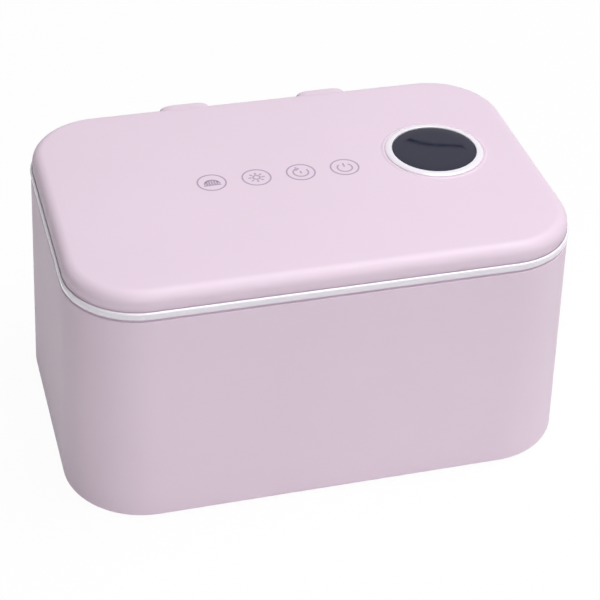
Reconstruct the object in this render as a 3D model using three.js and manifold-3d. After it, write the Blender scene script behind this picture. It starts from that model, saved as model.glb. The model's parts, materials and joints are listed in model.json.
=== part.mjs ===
// A box-shaped ultraviolet steriliser and dryer with a hinged lid.
// Millimetres, +Z up, front towards -Y, origin under the middle of the whole part's box.

import * as THREE from "three";
import { mergeVertices } from "three/addons/utils/BufferGeometryUtils.js";
import Module from "manifold-3d";

const wasm = await Module();
wasm.setup();

// Driving dimensions of the whole part
const width = 320;
const depth = 212;
const cornerRadius = 47.5;
const footStand = 2;
const shellHeight = 149.2;
const ringHeight = 5;
const ringProud = 0.4;
const lidGap = 0.7;
const lidHeight = 11.5;
const lidInset = 1.3;
const lidShoulder = 8.5;
const shellWall = 2.8;
const shellFootRound = 3;
const shellFlare = 5;
const lidWall = 2.5;
const linerInset = 11;
const linerWall = 0.8;
const chamberFloor = 38;
const plateRecess = 1;
const plateThickness = 2.5;

// Hinge, lug and key places
const hingeOut = 6.5;
const lugWidth = 33;
const lugCrown = 8;
const lugCrownForward = 1.5;
const lugCrownRise = 1.9;
const knuckleWidth = 16;
const hingeAcrossShare = 0.1496;
const displayAcrossShare = 0.302;
const displayBackShare = 0.0567;
const glassRadius = 27.3;
const keyPitchShare = 0.0908;
const keyFirstShare = -0.1666;
const keyBackShare = 0.0235;

// Fits
const seat = 0.3;
const slip = 0.15;
const bite = 1;
const overrun = 2;
const mergeTolerance = 0.0005;

// Levels above the table
const shellLow = footStand;
const shellTop = shellLow + shellHeight;
const ringLow = shellTop + seat;
const ringTop = ringLow + ringHeight;
const lidLow = ringTop + lidGap;
const lidTop = lidLow + lidHeight;
const lidCeiling = lidTop - lidWall;
const plateLow = shellLow + plateRecess;
const plateTop = plateLow + plateThickness;
const linerLow = chamberFloor - linerWall;

// Hinge axis, in the body's own frame, whose middle is x = 0, y = 0
const hingeY = depth / 2 + hingeOut;
const hingeZ = ringLow + ringHeight / 2;
const hingeX = width * hingeAcrossShare;
const lugReach = hingeOut - lugCrownForward + lugCrown;

// Steps of curves, which are counts
const cornerSteps = 4;
const smallSteps = 8;
const roundSteps = 12;
const fineSteps = 24;
const wireSteps = 6;
const shoulderSteps = 4;

// Directions for outlines: flat ones grow along Z, side ones along X, front ones along -Y
const alongX = new THREE.Vector3(1, 0, 0);
const alongY = new THREE.Vector3(0, 1, 0);
const alongZ = new THREE.Vector3(0, 0, 1);
const flat = new THREE.Matrix4();
const side = new THREE.Matrix4().makeBasis(alongY, alongZ, alongX);
const front = new THREE.Matrix4().makeBasis(alongX, alongZ, alongY.clone().negate());

// Finishes
const pink = finish(0xe6d3e2, 0.5, 0);
const glossWhite = finish(0xf3eef3, 0.2, 0);
const white = finish(0xe9e7ea, 0.45, 0);
const steel = finish(0xc9ccd0, 0.22, 1);
const chrome = finish(0xd8dadd, 0.1, 1);
const darkGlass = finish(0x42444f, 0.08, 0);
const quartz = finish(0xc9d4e6, 0.05, 0);
const rubber = finish(0x8d878f, 0.85, 0);
const silicone = finish(0xdcd9dd, 0.7, 0);
const board = finish(0x2f6b45, 0.5, 0);
const whiteBoard = finish(0xe3e6e2, 0.4, 0.2);
const black = finish(0x1d1d20, 0.5, 0);
const aluminium = finish(0xb7b9bc, 0.35, 1);
const copper = finish(0xb06a3a, 0.4, 1);
const foam = finish(0x55565a, 0.95, 0);
const brass = finish(0xc2a461, 0.3, 1);

function finish(color, roughness, metalness) {
  return new THREE.MeshStandardMaterial({ color, roughness, metalness });
}

// A closed three.js geometry as a solid for joining and cutting.
function solid(geometry) {
  const loose = geometry.index ? geometry.toNonIndexed() : geometry;
  const bare = new THREE.BufferGeometry();
  bare.setAttribute("position", loose.getAttribute("position"));
  const merged = mergeVertices(bare, mergeTolerance);
  return new wasm.Manifold(new wasm.Mesh({
    numProp: 3,
    vertProperties: merged.attributes.position.array,
    triVerts: new Uint32Array(merged.index.array),
  }));
}

// A solid as a named mesh in a group.
function place(group, name, shape, material) {
  const mesh = shape.getMesh();
  const geometry = new THREE.BufferGeometry();
  geometry.setAttribute("position", new THREE.BufferAttribute(mesh.vertProperties, 3));
  geometry.setIndex(new THREE.BufferAttribute(mesh.triVerts, 1));
  geometry.computeVertexNormals();
  const node = new THREE.Mesh(geometry, material);
  node.name = name;
  group.add(node);
}

function join(pieces) {
  return pieces.reduce((whole, piece) => whole.add(piece));
}

function cut(whole, pieces) {
  return pieces.reduce((rest, piece) => rest.subtract(piece), whole);
}

// An outline grown from one level to another, along the direction of a frame.
function prism(outline, from, to, frame = flat, steps = cornerSteps) {
  const settings = { depth: to - from, bevelEnabled: false, curveSegments: steps };
  const geometry = new THREE.ExtrudeGeometry(outline, settings);
  geometry.translate(0, 0, from);
  geometry.applyMatrix4(frame);
  return solid(geometry);
}

// A slab whose outline lies in X and Z, between two places on Y.
function frontSlab(outline, fromY, toY, steps = cornerSteps) {
  return prism(outline, -toY, -fromY, front, steps);
}

function rectangle(across, along, x = 0, y = 0) {
  const outline = new THREE.Shape();
  outline.moveTo(x - across / 2, y - along / 2);
  outline.lineTo(x + across / 2, y - along / 2);
  outline.lineTo(x + across / 2, y + along / 2);
  outline.lineTo(x - across / 2, y + along / 2);
  outline.closePath();
  return outline;
}

// A rectangle with round corners.
function softRectangle(across, along, radius, x = 0, y = 0) {
  const outline = new THREE.Shape();
  const right = x + across / 2 - radius;
  const left = x - across / 2 + radius;
  const back = y + along / 2 - radius;
  const near = y - along / 2 + radius;
  const quarter = Math.PI / 2;
  outline.absarc(right, back, radius, 0, quarter);
  outline.absarc(left, back, radius, quarter, 2 * quarter);
  outline.absarc(left, near, radius, 2 * quarter, 3 * quarter);
  outline.absarc(right, near, radius, 3 * quarter, 4 * quarter);
  outline.closePath();
  return outline;
}

// The body's plan outline, moved inwards all round by an inset.
function plan(inset) {
  return softRectangle(width - 2 * inset, depth - 2 * inset, cornerRadius - inset);
}

// A closed band that follows the plan's outline.
function band(inset, wide, low, high) {
  const outside = prism(plan(inset), low, high);
  return outside.subtract(prism(plan(inset + wide), low - overrun, high + overrun));
}

function circle(radius, x = 0, y = 0) {
  return new THREE.Shape().absarc(x, y, radius, 0, 2 * Math.PI);
}

function disc(radius, low, high, x = 0, y = 0, steps = smallSteps) {
  return prism(circle(radius, x, y), low, high, flat, steps / 2);
}

function block(across, along, low, high, x = 0, y = 0) {
  return prism(rectangle(across, along, x, y), low, high);
}

// A slab of the body's plan whose upper and lower edges are both rounded.
function pillow(inset, low, high, round) {
  const settings = {
    depth: high - low - 2 * round,
    bevelThickness: round,
    bevelSize: round,
    bevelSegments: shoulderSteps,
    curveSegments: cornerSteps,
  };
  const geometry = new THREE.ExtrudeGeometry(plan(inset + round), settings);
  geometry.translate(0, 0, low + round);
  return solid(geometry);
}

function roundedBelow(inset, low, high, round) {
  const tall = pillow(inset, low, high + 2 * round, round);
  return tall.intersect(prism(plan(inset - overrun), low - overrun, high));
}

// How far the shell's wall stands out at a level: its mould's draft widens it towards the foot.
function draftAt(level) {
  return shellFlare * (shellTop - level) / shellHeight;
}

// A slab of the body's plan that follows the draft of the shell's wall.
function drafted(inset, low, high) {
  const settings = {
    depth: bite,
    bevelThickness: high - low,
    bevelSize: draftAt(low) - draftAt(high),
    bevelSegments: 1,
    curveSegments: cornerSteps,
  };
  const geometry = new THREE.ExtrudeGeometry(plan(inset - draftAt(high)), settings);
  geometry.translate(0, 0, low - bite);
  return solid(geometry).intersect(prism(plan(inset - shellFlare - overrun), low, high + overrun));
}

function roundedAbove(inset, low, high, round) {
  const tall = pillow(inset, low - 2 * round, high, round);
  return tall.intersect(prism(plan(inset - overrun), low, high + overrun));
}

// A profile of radius and height turned round the upright axis at x, y.
function turned(profile, x = 0, y = 0, steps = fineSteps) {
  const points = profile.map(([radius, height]) => new THREE.Vector2(radius, height));
  const geometry = new THREE.LatheGeometry(points, steps);
  geometry.rotateX(Math.PI / 2);
  geometry.translate(x, y, 0);
  const made = solid(geometry);
  if (made.volume() > 0) return made;
  const turnedRound = geometry.clone();
  turnedRound.index.array.reverse();
  return solid(turnedRound);
}

// A tube along a smooth line through points.
function tube(points, radius, steps, sides) {
  const path = new THREE.CatmullRomCurve3(points, false, "centripetal");
  const section = new THREE.Shape(circle(radius).getPoints(sides / 2).slice(0, -1));
  const settings = { steps, extrudePath: path, bevelEnabled: false };
  return solid(new THREE.ExtrudeGeometry(section, settings));
}

// Places that repeat: both sides, and four corners
const sides = [-1, 1];
const corners = [[-1, -1], [1, -1], [-1, 1], [1, 1]];

const part = new THREE.Group();
const body = new THREE.Group();
const lid = new THREE.Group();
part.add(body, lid);
const shellReach = Math.max(ringProud, draftAt(shellLow + shellFootRound));
body.position.y = (shellReach - lugReach) / 2;
lid.position.y = body.position.y;

// Outer shell: walls, a top ledge for the tub, four screw bosses, a socket hole and exhaust slots
const shellLedge = 2.5;
const bossRadius = 6.5;
const bossHeight = 24;
const screwRadius = 1.7;
const slotWidth = 3;
const slotPitch = 7;
const slotCount = 6;
const exhaustHigh = 22;
const exhaustBelowTop = 34;
const inletWide = 26;
const inletHigh = 19;
const inletDeep = 20;
const inletAcrossShare = -0.3;
const inletAbovePlate = 3;
const inletX = width * inletAcrossShare;
const inletZ = plateTop + inletAbovePlate + inletHigh / 2;
const bossFromArc = cornerRadius + draftAt(plateTop) - shellWall - bossRadius + bite;
const bossX = width / 2 - cornerRadius + bossFromArc * Math.SQRT1_2;
const bossY = depth / 2 - cornerRadius + bossFromArc * Math.SQRT1_2;

function exhaustSlots(fromY, toY) {
  const level = shellTop - exhaustBelowTop;
  return Array.from({ length: slotCount }, (_, i) => {
    const x = (i - (slotCount - 1) / 2) * slotPitch;
    return frontSlab(softRectangle(slotWidth, exhaustHigh, slotWidth / 2 - slip, x, level), fromY, toY, 1);
  });
}

function outerShell() {
  const rounded = roundedBelow(-shellFlare, shellLow, shellTop, shellFootRound);
  const outside = drafted(0, shellLow, shellTop).intersect(rounded);
  const room = drafted(shellWall, shellLow - overrun, shellTop - shellLedge);
  const mouth = prism(plan(linerInset - seat), shellTop - shellLedge - overrun, shellTop + overrun);
  const bosses = corners.map(([sx, sy]) =>
    disc(bossRadius, plateTop + seat, plateTop + seat + bossHeight, sx * bossX, sy * bossY));
  const pilots = corners.map(([sx, sy]) =>
    disc(screwRadius + slip, plateTop - overrun, plateTop + bossHeight - bite, sx * bossX, sy * bossY));
  const behindWall = depth / 2 + shellFlare + overrun;
  const socket = frontSlab(rectangle(inletWide + 2 * seat, inletHigh + 2 * seat, inletX, inletZ),
    depth / 2 - shellWall - overrun, behindWall);
  const slots = exhaustSlots(depth / 2 - shellWall - overrun, behindWall);
  const walls = cut(outside, [room, mouth]);
  return cut(join([walls, ...bosses]), [...pilots, socket, ...slots]);
}

place(body, "outer_shell", outerShell(), pink);

// Polished steel tub that hangs by its rim on the shell's ledge
const rimInset = 3.5;
const ventSlotCount = 8;
const ventMargin = 5;
const ductSize = 80;
const ductWall = 2;
const fanAcrossShare = 0.2;
const fanX = width * fanAcrossShare;
const rimTop = ringLow + linerWall;

// Parallel slots in a square field round a place.
function slotField(field, count, x, y) {
  const pitch = field / count;
  return Array.from({ length: count }, (_, i) =>
    rectangle(pitch / 2, field, x + (i - (count - 1) / 2) * pitch, y));
}

function innerLiner() {
  const tub = prism(plan(linerInset), linerLow, rimTop);
  const rim = prism(plan(rimInset), ringLow, rimTop);
  const room = prism(plan(linerInset + linerWall), chamberFloor, rimTop + overrun);
  const vents = slotField(ductSize - 2 * ductWall - 2 * ventMargin, ventSlotCount, fanX, 0)
    .map((outline) => prism(outline, linerLow - overrun, chamberFloor + overrun));
  const slots = exhaustSlots(depth / 2 - linerInset - linerWall - overrun, depth / 2 - linerInset + overrun);
  return cut(join([tub, rim]), [room, ...vents, ...slots]);
}

place(body, "inner_liner", innerLiner(), steel);

// White top frame: covers the tub's rim and carries the two fixed hinge knuckles
const knuckleRadius = 5;
const pinRadius = 2;
const lugBarrel = 5.4;
const pinLength = lugWidth - 2 * seat - bite;

function hingeBore(x, radius, length) {
  return prism(circle(radius, hingeY, hingeZ), x - length / 2, x + length / 2, side, roundSteps / 2);
}

function trimRing() {
  const outside = prism(plan(-ringProud), ringLow, ringTop);
  const mouth = prism(plan(linerInset + linerWall), ringLow - overrun, ringTop + overrun);
  const pocket = prism(plan(rimInset - seat), ringLow - overrun, rimTop + seat);
  const knuckles = sides.flatMap((s) => [
    hingeBore(s * hingeX, knuckleRadius, knuckleWidth),
    block(knuckleWidth, hingeOut + bite, ringLow, ringTop, s * hingeX, hingeY - (hingeOut + bite) / 2),
  ]);
  const bores = sides.map((s) => hingeBore(s * hingeX, pinRadius + slip, knuckleWidth + 2 * overrun));
  return cut(join([cut(outside, [mouth, pocket]), ...knuckles]), bores);
}

place(body, "trim_ring", trimRing(), glossWhite);
sides.forEach((s) => {
  const name = s < 0 ? "hinge_pin_left" : "hinge_pin_right";
  place(body, name, hingeBore(s * hingeX, pinRadius, pinLength), steel);
});

// Base plate with air slots, posts, foot recesses and screw holes
const plateInset = shellWall + seat;
const footRadius = 10;
const footGrip = 0.8;
const footTaper = 1;
const footAcrossShare = 0.375;
const footAlongShare = 0.34;
const headRadius = 3.4;
const headHeight = 0.9;
const sink = 1.2;
const postRadius = 3.6;
const fanScrewPlace = ductSize / 2 - ductWall - headRadius - seat;
const filterThickness = 1;
const filterRadius = 36;
const fanLow = plateTop + filterThickness + 2 * seat;
const boardWide = 116;
const boardDeep = 88;
const boardThickness = 1.6;
const boardPost = 5;
const boardAcrossShare = -0.22;
const boardHoleEdge = 5;
const boardX = width * boardAcrossShare;
const boardLow = plateTop + boardPost + seat;
const boardTop = boardLow + boardThickness;
const smallScrew = 1.3;
const footX = width * footAcrossShare;
const footY = depth * footAlongShare;

function boardHole([sx, sy]) {
  return [boardX + sx * (boardWide / 2 - boardHoleEdge), sy * (boardDeep / 2 - boardHoleEdge)];
}

function fanHole([sx, sy]) {
  return [fanX + sx * fanScrewPlace, sy * fanScrewPlace];
}

function basePlate() {
  const vents = slotField(ductSize - 4 * postRadius, ventSlotCount, fanX, 0)
    .map((outline) => prism(outline, plateLow - overrun, plateTop + overrun));
  const plate = cut(prism(plan(plateInset - draftAt(plateTop)), plateLow, plateTop), vents);
  const posts = corners.flatMap((corner) => {
    const [x, y] = boardHole(corner);
    const [fx, fy] = fanHole(corner);
    return [
      disc(postRadius, plateTop - bite, plateTop + boardPost, x, y),
      disc(postRadius, plateTop - bite, fanLow - seat, fx, fy),
    ];
  });
  const holes = corners.flatMap((corner) => {
    const [sx, sy] = corner;
    const [x, y] = boardHole(corner);
    const [fx, fy] = fanHole(corner);
    return [
      disc(screwRadius + slip, plateLow - overrun, plateTop + overrun, sx * bossX, sy * bossY),
      disc(headRadius + seat, plateLow - overrun, plateLow + sink, sx * bossX, sy * bossY),
      disc(footRadius + seat, plateLow - overrun, plateLow + footGrip, sx * footX, sy * footY, fineSteps),
      disc(smallScrew + slip, plateTop, plateTop + boardPost + overrun, x, y),
      disc(screwRadius + slip, plateTop - bite, fanLow + overrun, fx, fy),
    ];
  });
  return cut(join([plate, ...posts]), holes);
}

place(body, "base_plate", basePlate(), white);

// Rubber feet and the screws
function foot(x, y) {
  const high = plateLow + footGrip - seat;
  return turned([[0, 0], [footRadius - footTaper, 0], [footRadius, high / 2], [footRadius, high], [0, high]], x, y);
}

// A screw with its head below and its shank up, or turned over.
function screw(x, y, headLow, headHigh, tip, radius) {
  const head = disc(radius * 2, headLow, headHigh, x, y);
  const from = Math.min(tip, headLow);
  const to = Math.max(tip, headHigh);
  return head.add(disc(radius, from, to, x, y));
}

corners.forEach(([sx, sy], i) => {
  const headLow = plateLow + sink - seat - headHeight;
  const tip = plateTop + bossHeight - 2 * bite;
  place(body, "foot_" + (i + 1), foot(sx * footX, sy * footY), rubber);
  place(body, "base_screw_" + (i + 1),
    screw(sx * bossX, sy * bossY, headLow, headLow + headHeight, tip, screwRadius), steel);
});

// Intake filter, axial fan and its shaft
const fanThickness = 15;
const fanTop = fanLow + fanThickness;
const bladeGap = 0.8;
const fanBoreShare = 0.475;
const fanBore = ductSize * fanBoreShare;
const hubRadius = 17;
const hubWall = 2;
const mountRadius = 15;
const mountThickness = 2.4;
const bearingRadius = 4;
const shaftRadius = 1.5;
const shaftSlip = 0.07;
const strutWidth = 4;
const bladeCount = 7;
const bladeThickness = 1.4;
const bladeChord = 17;
const bladePitch = Math.PI / 5;

function fanFrame() {
  const outline = softRectangle(ductSize, ductSize, postRadius, fanX, 0);
  outline.holes.push(circle(fanBore, fanX, 0));
  const frame = prism(outline, fanLow, fanTop, flat, fineSteps / 2);
  const mount = disc(mountRadius, fanLow, fanLow + mountThickness, fanX, 0, fineSteps);
  const struts = [
    block(strutWidth, 2 * fanBore + bite, fanLow, fanLow + mountThickness, fanX, 0),
    block(2 * fanBore + bite, strutWidth, fanLow, fanLow + mountThickness, fanX, 0),
  ];
  const bearing = disc(bearingRadius, fanLow, fanTop - hubWall - 2 * bite, fanX, 0);
  const bore = disc(shaftRadius + shaftSlip, fanLow + bite, fanTop, fanX, 0, fineSteps);
  const holes = corners.map((corner) =>
    disc(screwRadius + slip, fanLow - overrun, fanTop + overrun, ...fanHole(corner)));
  return cut(join([frame, mount, ...struts, bearing]), [bore, ...holes]);
}

function fanStator() {
  const low = fanLow + mountThickness + seat;
  const high = fanTop - hubWall - 3 * bite;
  const inner = bearingRadius + slip;
  const outer = hubRadius - hubWall - bladeGap;
  return turned([[inner, low], [outer, low], [outer, high], [inner, high], [inner, low]], fanX, 0);
}

function fanRotor() {
  const low = fanLow + mountThickness + bladeGap;
  const high = fanTop - seat;
  const cup = disc(hubRadius, low, high, fanX, 0, fineSteps);
  const hollow = disc(hubRadius - hubWall, low - overrun, high - hubWall, fanX, 0, fineSteps);
  const keeper = disc(fanBore - bladeGap, low, high, fanX, 0, fineSteps);
  const blades = Array.from({ length: bladeCount }, (_, i) => {
    const reach = fanBore - hubRadius + bite;
    const blade = new THREE.BoxGeometry(reach, bladeChord, bladeThickness);
    blade.rotateX(bladePitch);
    blade.translate(hubRadius - bite / 2 + reach / 2, 0, (low + high) / 2);
    blade.rotateZ((i * 2 * Math.PI) / bladeCount);
    blade.translate(fanX, 0, 0);
    return solid(blade);
  });
  const bore = disc(shaftRadius + slip, low, high + overrun, fanX, 0, fineSteps);
  return cut(join([cup.subtract(hollow), ...blades]), [bore]).intersect(keeper);
}

place(body, "intake_filter", disc(filterRadius, plateTop + seat, plateTop + seat + filterThickness, fanX, 0, fineSteps), foam);
place(body, "fan_frame", fanFrame(), black);
place(body, "fan_stator", fanStator(), copper);
place(body, "fan_rotor", fanRotor(), black);
place(body, "fan_shaft", disc(shaftRadius, fanLow + bite + seat, fanTop - seat, fanX, 0, fineSteps), steel);

// Air duct with the heater on its ledge, and the thermostat on its side
const ductLow = fanTop + seat;
const ductHigh = linerLow - seat;
const ledgeThickness = 2;
const heaterMargin = 9;
const heaterSize = ductSize - 2 * heaterMargin;
const heaterLedge = 3;
const heaterFins = 9;
const heaterHighShare = 0.72;
const thermostatRadius = 6;
const thermostatThickness = 5;

function airDuct() {
  const outside = softRectangle(ductSize, ductSize, postRadius, fanX, 0);
  const opening = heaterSize - 2 * heaterLedge;
  const room = block(ductSize - 2 * ductWall, ductSize - 2 * ductWall, ductLow + ledgeThickness, ductHigh + overrun, fanX, 0);
  const throat = block(opening, opening, ductLow - overrun, ductHigh, fanX, 0);
  const holes = corners.map((corner) =>
    disc(screwRadius + slip, ductLow - overrun, ductHigh, ...fanHole(corner)));
  return cut(prism(outside, ductLow, ductHigh), [room, throat, ...holes]);
}

function heaterElement() {
  const low = ductLow + ledgeThickness + seat;
  const high = low + (ductHigh - low) * heaterHighShare;
  const slots = slotField(heaterSize - 2 * heaterLedge, heaterFins, fanX, 0)
    .map((outline) => prism(outline, low - overrun, high + overrun));
  return cut(block(heaterSize, heaterSize, low, high, fanX, 0), slots);
}

function thermostat() {
  const face = fanX - ductSize / 2 - seat;
  const level = (ductLow + ductHigh) / 2;
  return prism(circle(thermostatRadius, 0, level), face - thermostatThickness, face, side, roundSteps / 2);
}

place(body, "air_duct", airDuct(), white);
place(body, "heater_element", heaterElement(), aluminium);
place(body, "thermostat", thermostat(), black);
corners.forEach((corner, i) => {
  const headLow = ductLow + ledgeThickness + seat;
  const [x, y] = fanHole(corner);
  place(body, "fan_screw_" + (i + 1),
    screw(x, y, headLow, headLow + headHeight, plateTop - bite + seat, screwRadius), steel);
});

// Main board with its larger components, and its screws
const relaySize = 18;
const coilSize = 30;
const plugWide = 24;
const plugDeep = 9;
const componentShare = 0.7;

function mainBoard() {
  const room = linerLow - boardTop;
  const base = block(boardWide, boardDeep, boardLow, boardTop, boardX, 0);
  const relay = block(relaySize, relaySize, boardLow, boardTop + room * componentShare,
    boardX + boardWide / 4, -boardDeep / 4);
  const coil = block(coilSize, coilSize, boardLow, boardTop + room * componentShare,
    boardX - boardWide / 5, -boardDeep / 6);
  const can = disc(relaySize / 2, boardLow, boardTop + room * componentShare, boardX + boardWide / 4,
    boardDeep / 8, roundSteps);
  const plug = block(plugWide, plugDeep, boardLow, boardTop + room / 3, boardX, boardDeep / 2 - plugDeep);
  const holes = corners.map((corner) =>
    disc(smallScrew + slip, boardLow - overrun, boardTop + overrun, ...boardHole(corner)));
  return cut(join([base, relay, coil, can, plug]), holes);
}

place(body, "main_board", mainBoard(), board);
corners.forEach((corner, i) => {
  const [x, y] = boardHole(corner);
  const headLow = boardTop + seat;
  place(body, "board_screw_" + (i + 1), screw(x, y, headLow, headLow + headHeight, plateTop + seat, smallScrew), steel);
});

// Mains inlet with two pins, and its lead to the board
const inletFlange = 2;
const inletFlangeThickness = 1.5;
const socketWide = 15;
const socketHigh = 8.4;
const socketDeep = 12;
const inletPinRadius = 1.2;
const inletPinSpread = 4.3;
const inletPinLength = 9;
const leadRadius = 2;
const leadSteps = 10;
const leadSides = 8;
const inletSeat = depth / 2 + draftAt(inletZ - inletHigh / 2 - inletFlange) + seat;
const inletBack = inletSeat + inletFlangeThickness;
const inletFront = inletSeat - inletDeep;
const boardPlugY = boardDeep / 2 - plugDeep;
const boardPlugTop = boardTop + (linerLow - boardTop) / 3;

function powerInlet() {
  const flange = frontSlab(softRectangle(inletWide + 2 * inletFlange, inletHigh + 2 * inletFlange, inletFlange,
    inletX, inletZ), inletSeat, inletBack, 2);
  const housing = frontSlab(rectangle(inletWide, inletHigh, inletX, inletZ), inletFront, inletBack);
  const socket = frontSlab(softRectangle(socketWide, socketHigh, socketHigh / 2 - slip, inletX, inletZ),
    inletBack - socketDeep, inletBack + overrun, 3);
  const seats = sides.map((s) => frontSlab(circle(inletPinRadius + slip, inletX + s * inletPinSpread, inletZ),
    inletBack - socketDeep - 2 * bite, inletBack - socketDeep + overrun, roundSteps / 2));
  return cut(join([flange, housing]), [socket, ...seats]);
}

function inletPin(s) {
  const deep = inletBack - socketDeep - 2 * bite + seat;
  return frontSlab(circle(inletPinRadius, inletX + s * inletPinSpread, inletZ), deep, deep + inletPinLength, roundSteps / 2);
}

// A lead that drops from a level face onto a place on the board's socket.
function inletLead() {
  const from = new THREE.Vector3(inletX, inletFront - seat, inletZ);
  const to = new THREE.Vector3(boardX - plugWide / 4, boardPlugY, boardPlugTop + seat);
  const high = Math.max(from.z, to.z + 2 * leadRadius);
  const bend = new THREE.Vector3(from.x, from.y - 4 * leadRadius, from.z);
  const over = new THREE.Vector3((bend.x + 2 * to.x) / 3, to.y + 4 * leadRadius, high);
  const above = new THREE.Vector3(to.x, to.y, to.z + leadRadius);
  return tube([from, bend, over, above, to], leadRadius, leadSteps, leadSides);
}

place(body, "power_inlet", powerInlet(), black);
place(body, "inlet_pin_left", inletPin(-1), brass);
place(body, "inlet_pin_right", inletPin(1), brass);
place(body, "inlet_lead", inletLead(), black);

// Harness from the board up between tub and shell to the left hinge, and the lid sensor
const harnessRadius = 2;
const harnessSteps = 22;
const sensorWide = 18;
const sensorDeep = 5;
const sensorHigh = 10;
const sensorAcrossShare = 0.3;
const ledgeUnder = shellTop - shellLedge;
const wiringY = depth / 2 - (shellWall + linerInset) / 2;

function bodyHarness() {
  const start = new THREE.Vector3(boardX + plugWide / 4, boardPlugY, boardPlugTop + seat);
  const lift = new THREE.Vector3(start.x, start.y, start.z + 2 * harnessRadius);
  const back = new THREE.Vector3(start.x, wiringY - 4 * harnessRadius, linerLow - 4 * harnessRadius);
  const turn = new THREE.Vector3(start.x, wiringY, linerLow + 2 * harnessRadius);
  const rise = new THREE.Vector3(-hingeX, wiringY, (chamberFloor + ledgeUnder) / 2);
  const end = new THREE.Vector3(-hingeX, wiringY, ledgeUnder - seat);
  return tube([start, lift, back, turn, rise, end], harnessRadius, harnessSteps, leadSides);
}

function lidSensor() {
  const high = ledgeUnder - seat;
  const y = depth / 2 - shellWall - seat - sensorDeep / 2;
  return block(sensorWide, sensorDeep, high - sensorHigh, high, width * sensorAcrossShare, y);
}

place(body, "body_harness", bodyHarness(), black);
place(body, "lid_sensor", lidSensor(), black);

// Flat wire rack: a loop that follows the tub, cross wires on three long wires, and short legs
const rackGap = 6;
const rackWire = 3;
const rackPitch = 22;
const rackFoot = 8;
const weld = 0.6;
const rackInset = linerInset + linerWall + rackGap;
const rackLow = chamberFloor + seat;
const gridLow = rackLow + rackFoot;
const rackHalfX = width / 2 - rackInset - rackWire / 2;
const rackHalfY = depth / 2 - rackInset - rackWire / 2;
const rackArc = cornerRadius - rackInset - rackWire / 2;
const longWireShares = [-0.55, 0, 0.55];
const legAlongShares = [-0.72, 0, 0.72];
const legAcrossShares = [-0.5, 0.5];

function longWire(share) {
  const level = gridLow + weld - rackWire / 2;
  return prism(circle(rackWire / 2, share * rackHalfY, level), -rackHalfX, rackHalfX, side, wireSteps / 2);
}

function wireRack() {
  const level = gridLow + rackWire / 2;
  const count = Math.floor((2 * rackHalfX) / rackPitch);
  const loop = band(rackInset, rackWire, gridLow, gridLow + rackWire);
  const cross = Array.from({ length: count }, (_, i) => {
    const x = (i - (count - 1) / 2) * (2 * rackHalfX / count);
    const past = Math.max(0, Math.abs(x) - (rackHalfX - rackArc));
    const reach = rackHalfY - rackArc + Math.sqrt(rackArc * rackArc - past * past);
    return prism(circle(rackWire / 2, x, level), -reach, reach, front, wireSteps / 2);
  });
  const legs = [
    ...legAlongShares.flatMap((share) => sides.map((s) => [share * (rackHalfX - rackArc), s * rackHalfY])),
    ...legAcrossShares.flatMap((share) => sides.map((s) => [s * rackHalfX, share * (rackHalfY - rackArc)])),
  ].map(([x, y]) => disc(rackWire / 2, rackLow, level, x, y, wireSteps));
  return join([loop, ...cross, ...longWireShares.map(longWire), ...legs]);
}

place(body, "wire_rack", wireRack(), chrome);

// Lid cover: a shallow shell with a round shoulder, two lugs over the knuckles and four bosses
const panelLow = lidLow + seat;
const panelThickness = 2.2;
const panelTop = panelLow + panelThickness;
const lidBossRadius = 4;
const lidBossAcrossShare = 0.41;
const lidBossAlongShare = 0.33;
const lidBossX = width * lidBossAcrossShare;
const lidBossY = depth * lidBossAlongShare;
const displayX = width * displayAcrossShare;
const displayY = depth * displayBackShare;
const bezelOut = 32.3;
const bezelSleeve = 2;
const bezelRise = 1.6;
const bezelSlopeShare = 0.6;
const glassSink = 0.6;
const glassThickness = 2.5;
const glassLedge = 1.5;
const glassLedgeThickness = 1.2;
const sleeveRadius = glassRadius + seat + bezelSleeve;
const lidInner = lidInset + lidWall;

function lugs() {
  const crownY = hingeY - lugCrownForward;
  const crownZ = hingeZ + lugCrownRise;
  const root = depth / 2 - lidInner + seat;
  return sides.flatMap((s) => {
    const x = s * hingeX;
    const low = x - lugWidth / 2;
    const high = x + lugWidth / 2;
    const crown = prism(circle(lugCrown, crownY, crownZ), low, high, side, roundSteps);
    const clear = block(lugWidth + overrun, lugCrown * 2, hingeZ - 2 * lugCrown, lidLow, x, hingeY - lugCrown);
    const cap = block(lugWidth, crownY - root, lidLow, crownZ + lugCrown, x, (crownY + root) / 2);
    const web = block(lugWidth, lugBarrel + bite, hingeZ, lidLow + bite, x, hingeY + (bite - lugBarrel) / 2);
    return [crown.subtract(clear), hingeBore(x, lugBarrel, lugWidth), cap, web];
  });
}

// The room that a fixed knuckle and its arm need inside a lug, through the whole turn.
function lugSlots() {
  const far = 4 * knuckleRadius;
  const free = knuckleRadius + seat;
  return sides.flatMap((s) => {
    const x = s * hingeX;
    const wide = knuckleWidth + 2 * seat;
    return [
      prism(circle(free, hingeY, hingeZ), x - wide / 2, x + wide / 2, side, roundSteps / 2),
      block(wide, far + free, hingeZ - far, ringTop + seat, x, hingeY + (free - far) / 2),
      hingeBore(x, pinRadius + seat, pinLength + seat),
    ];
  });
}

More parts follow.
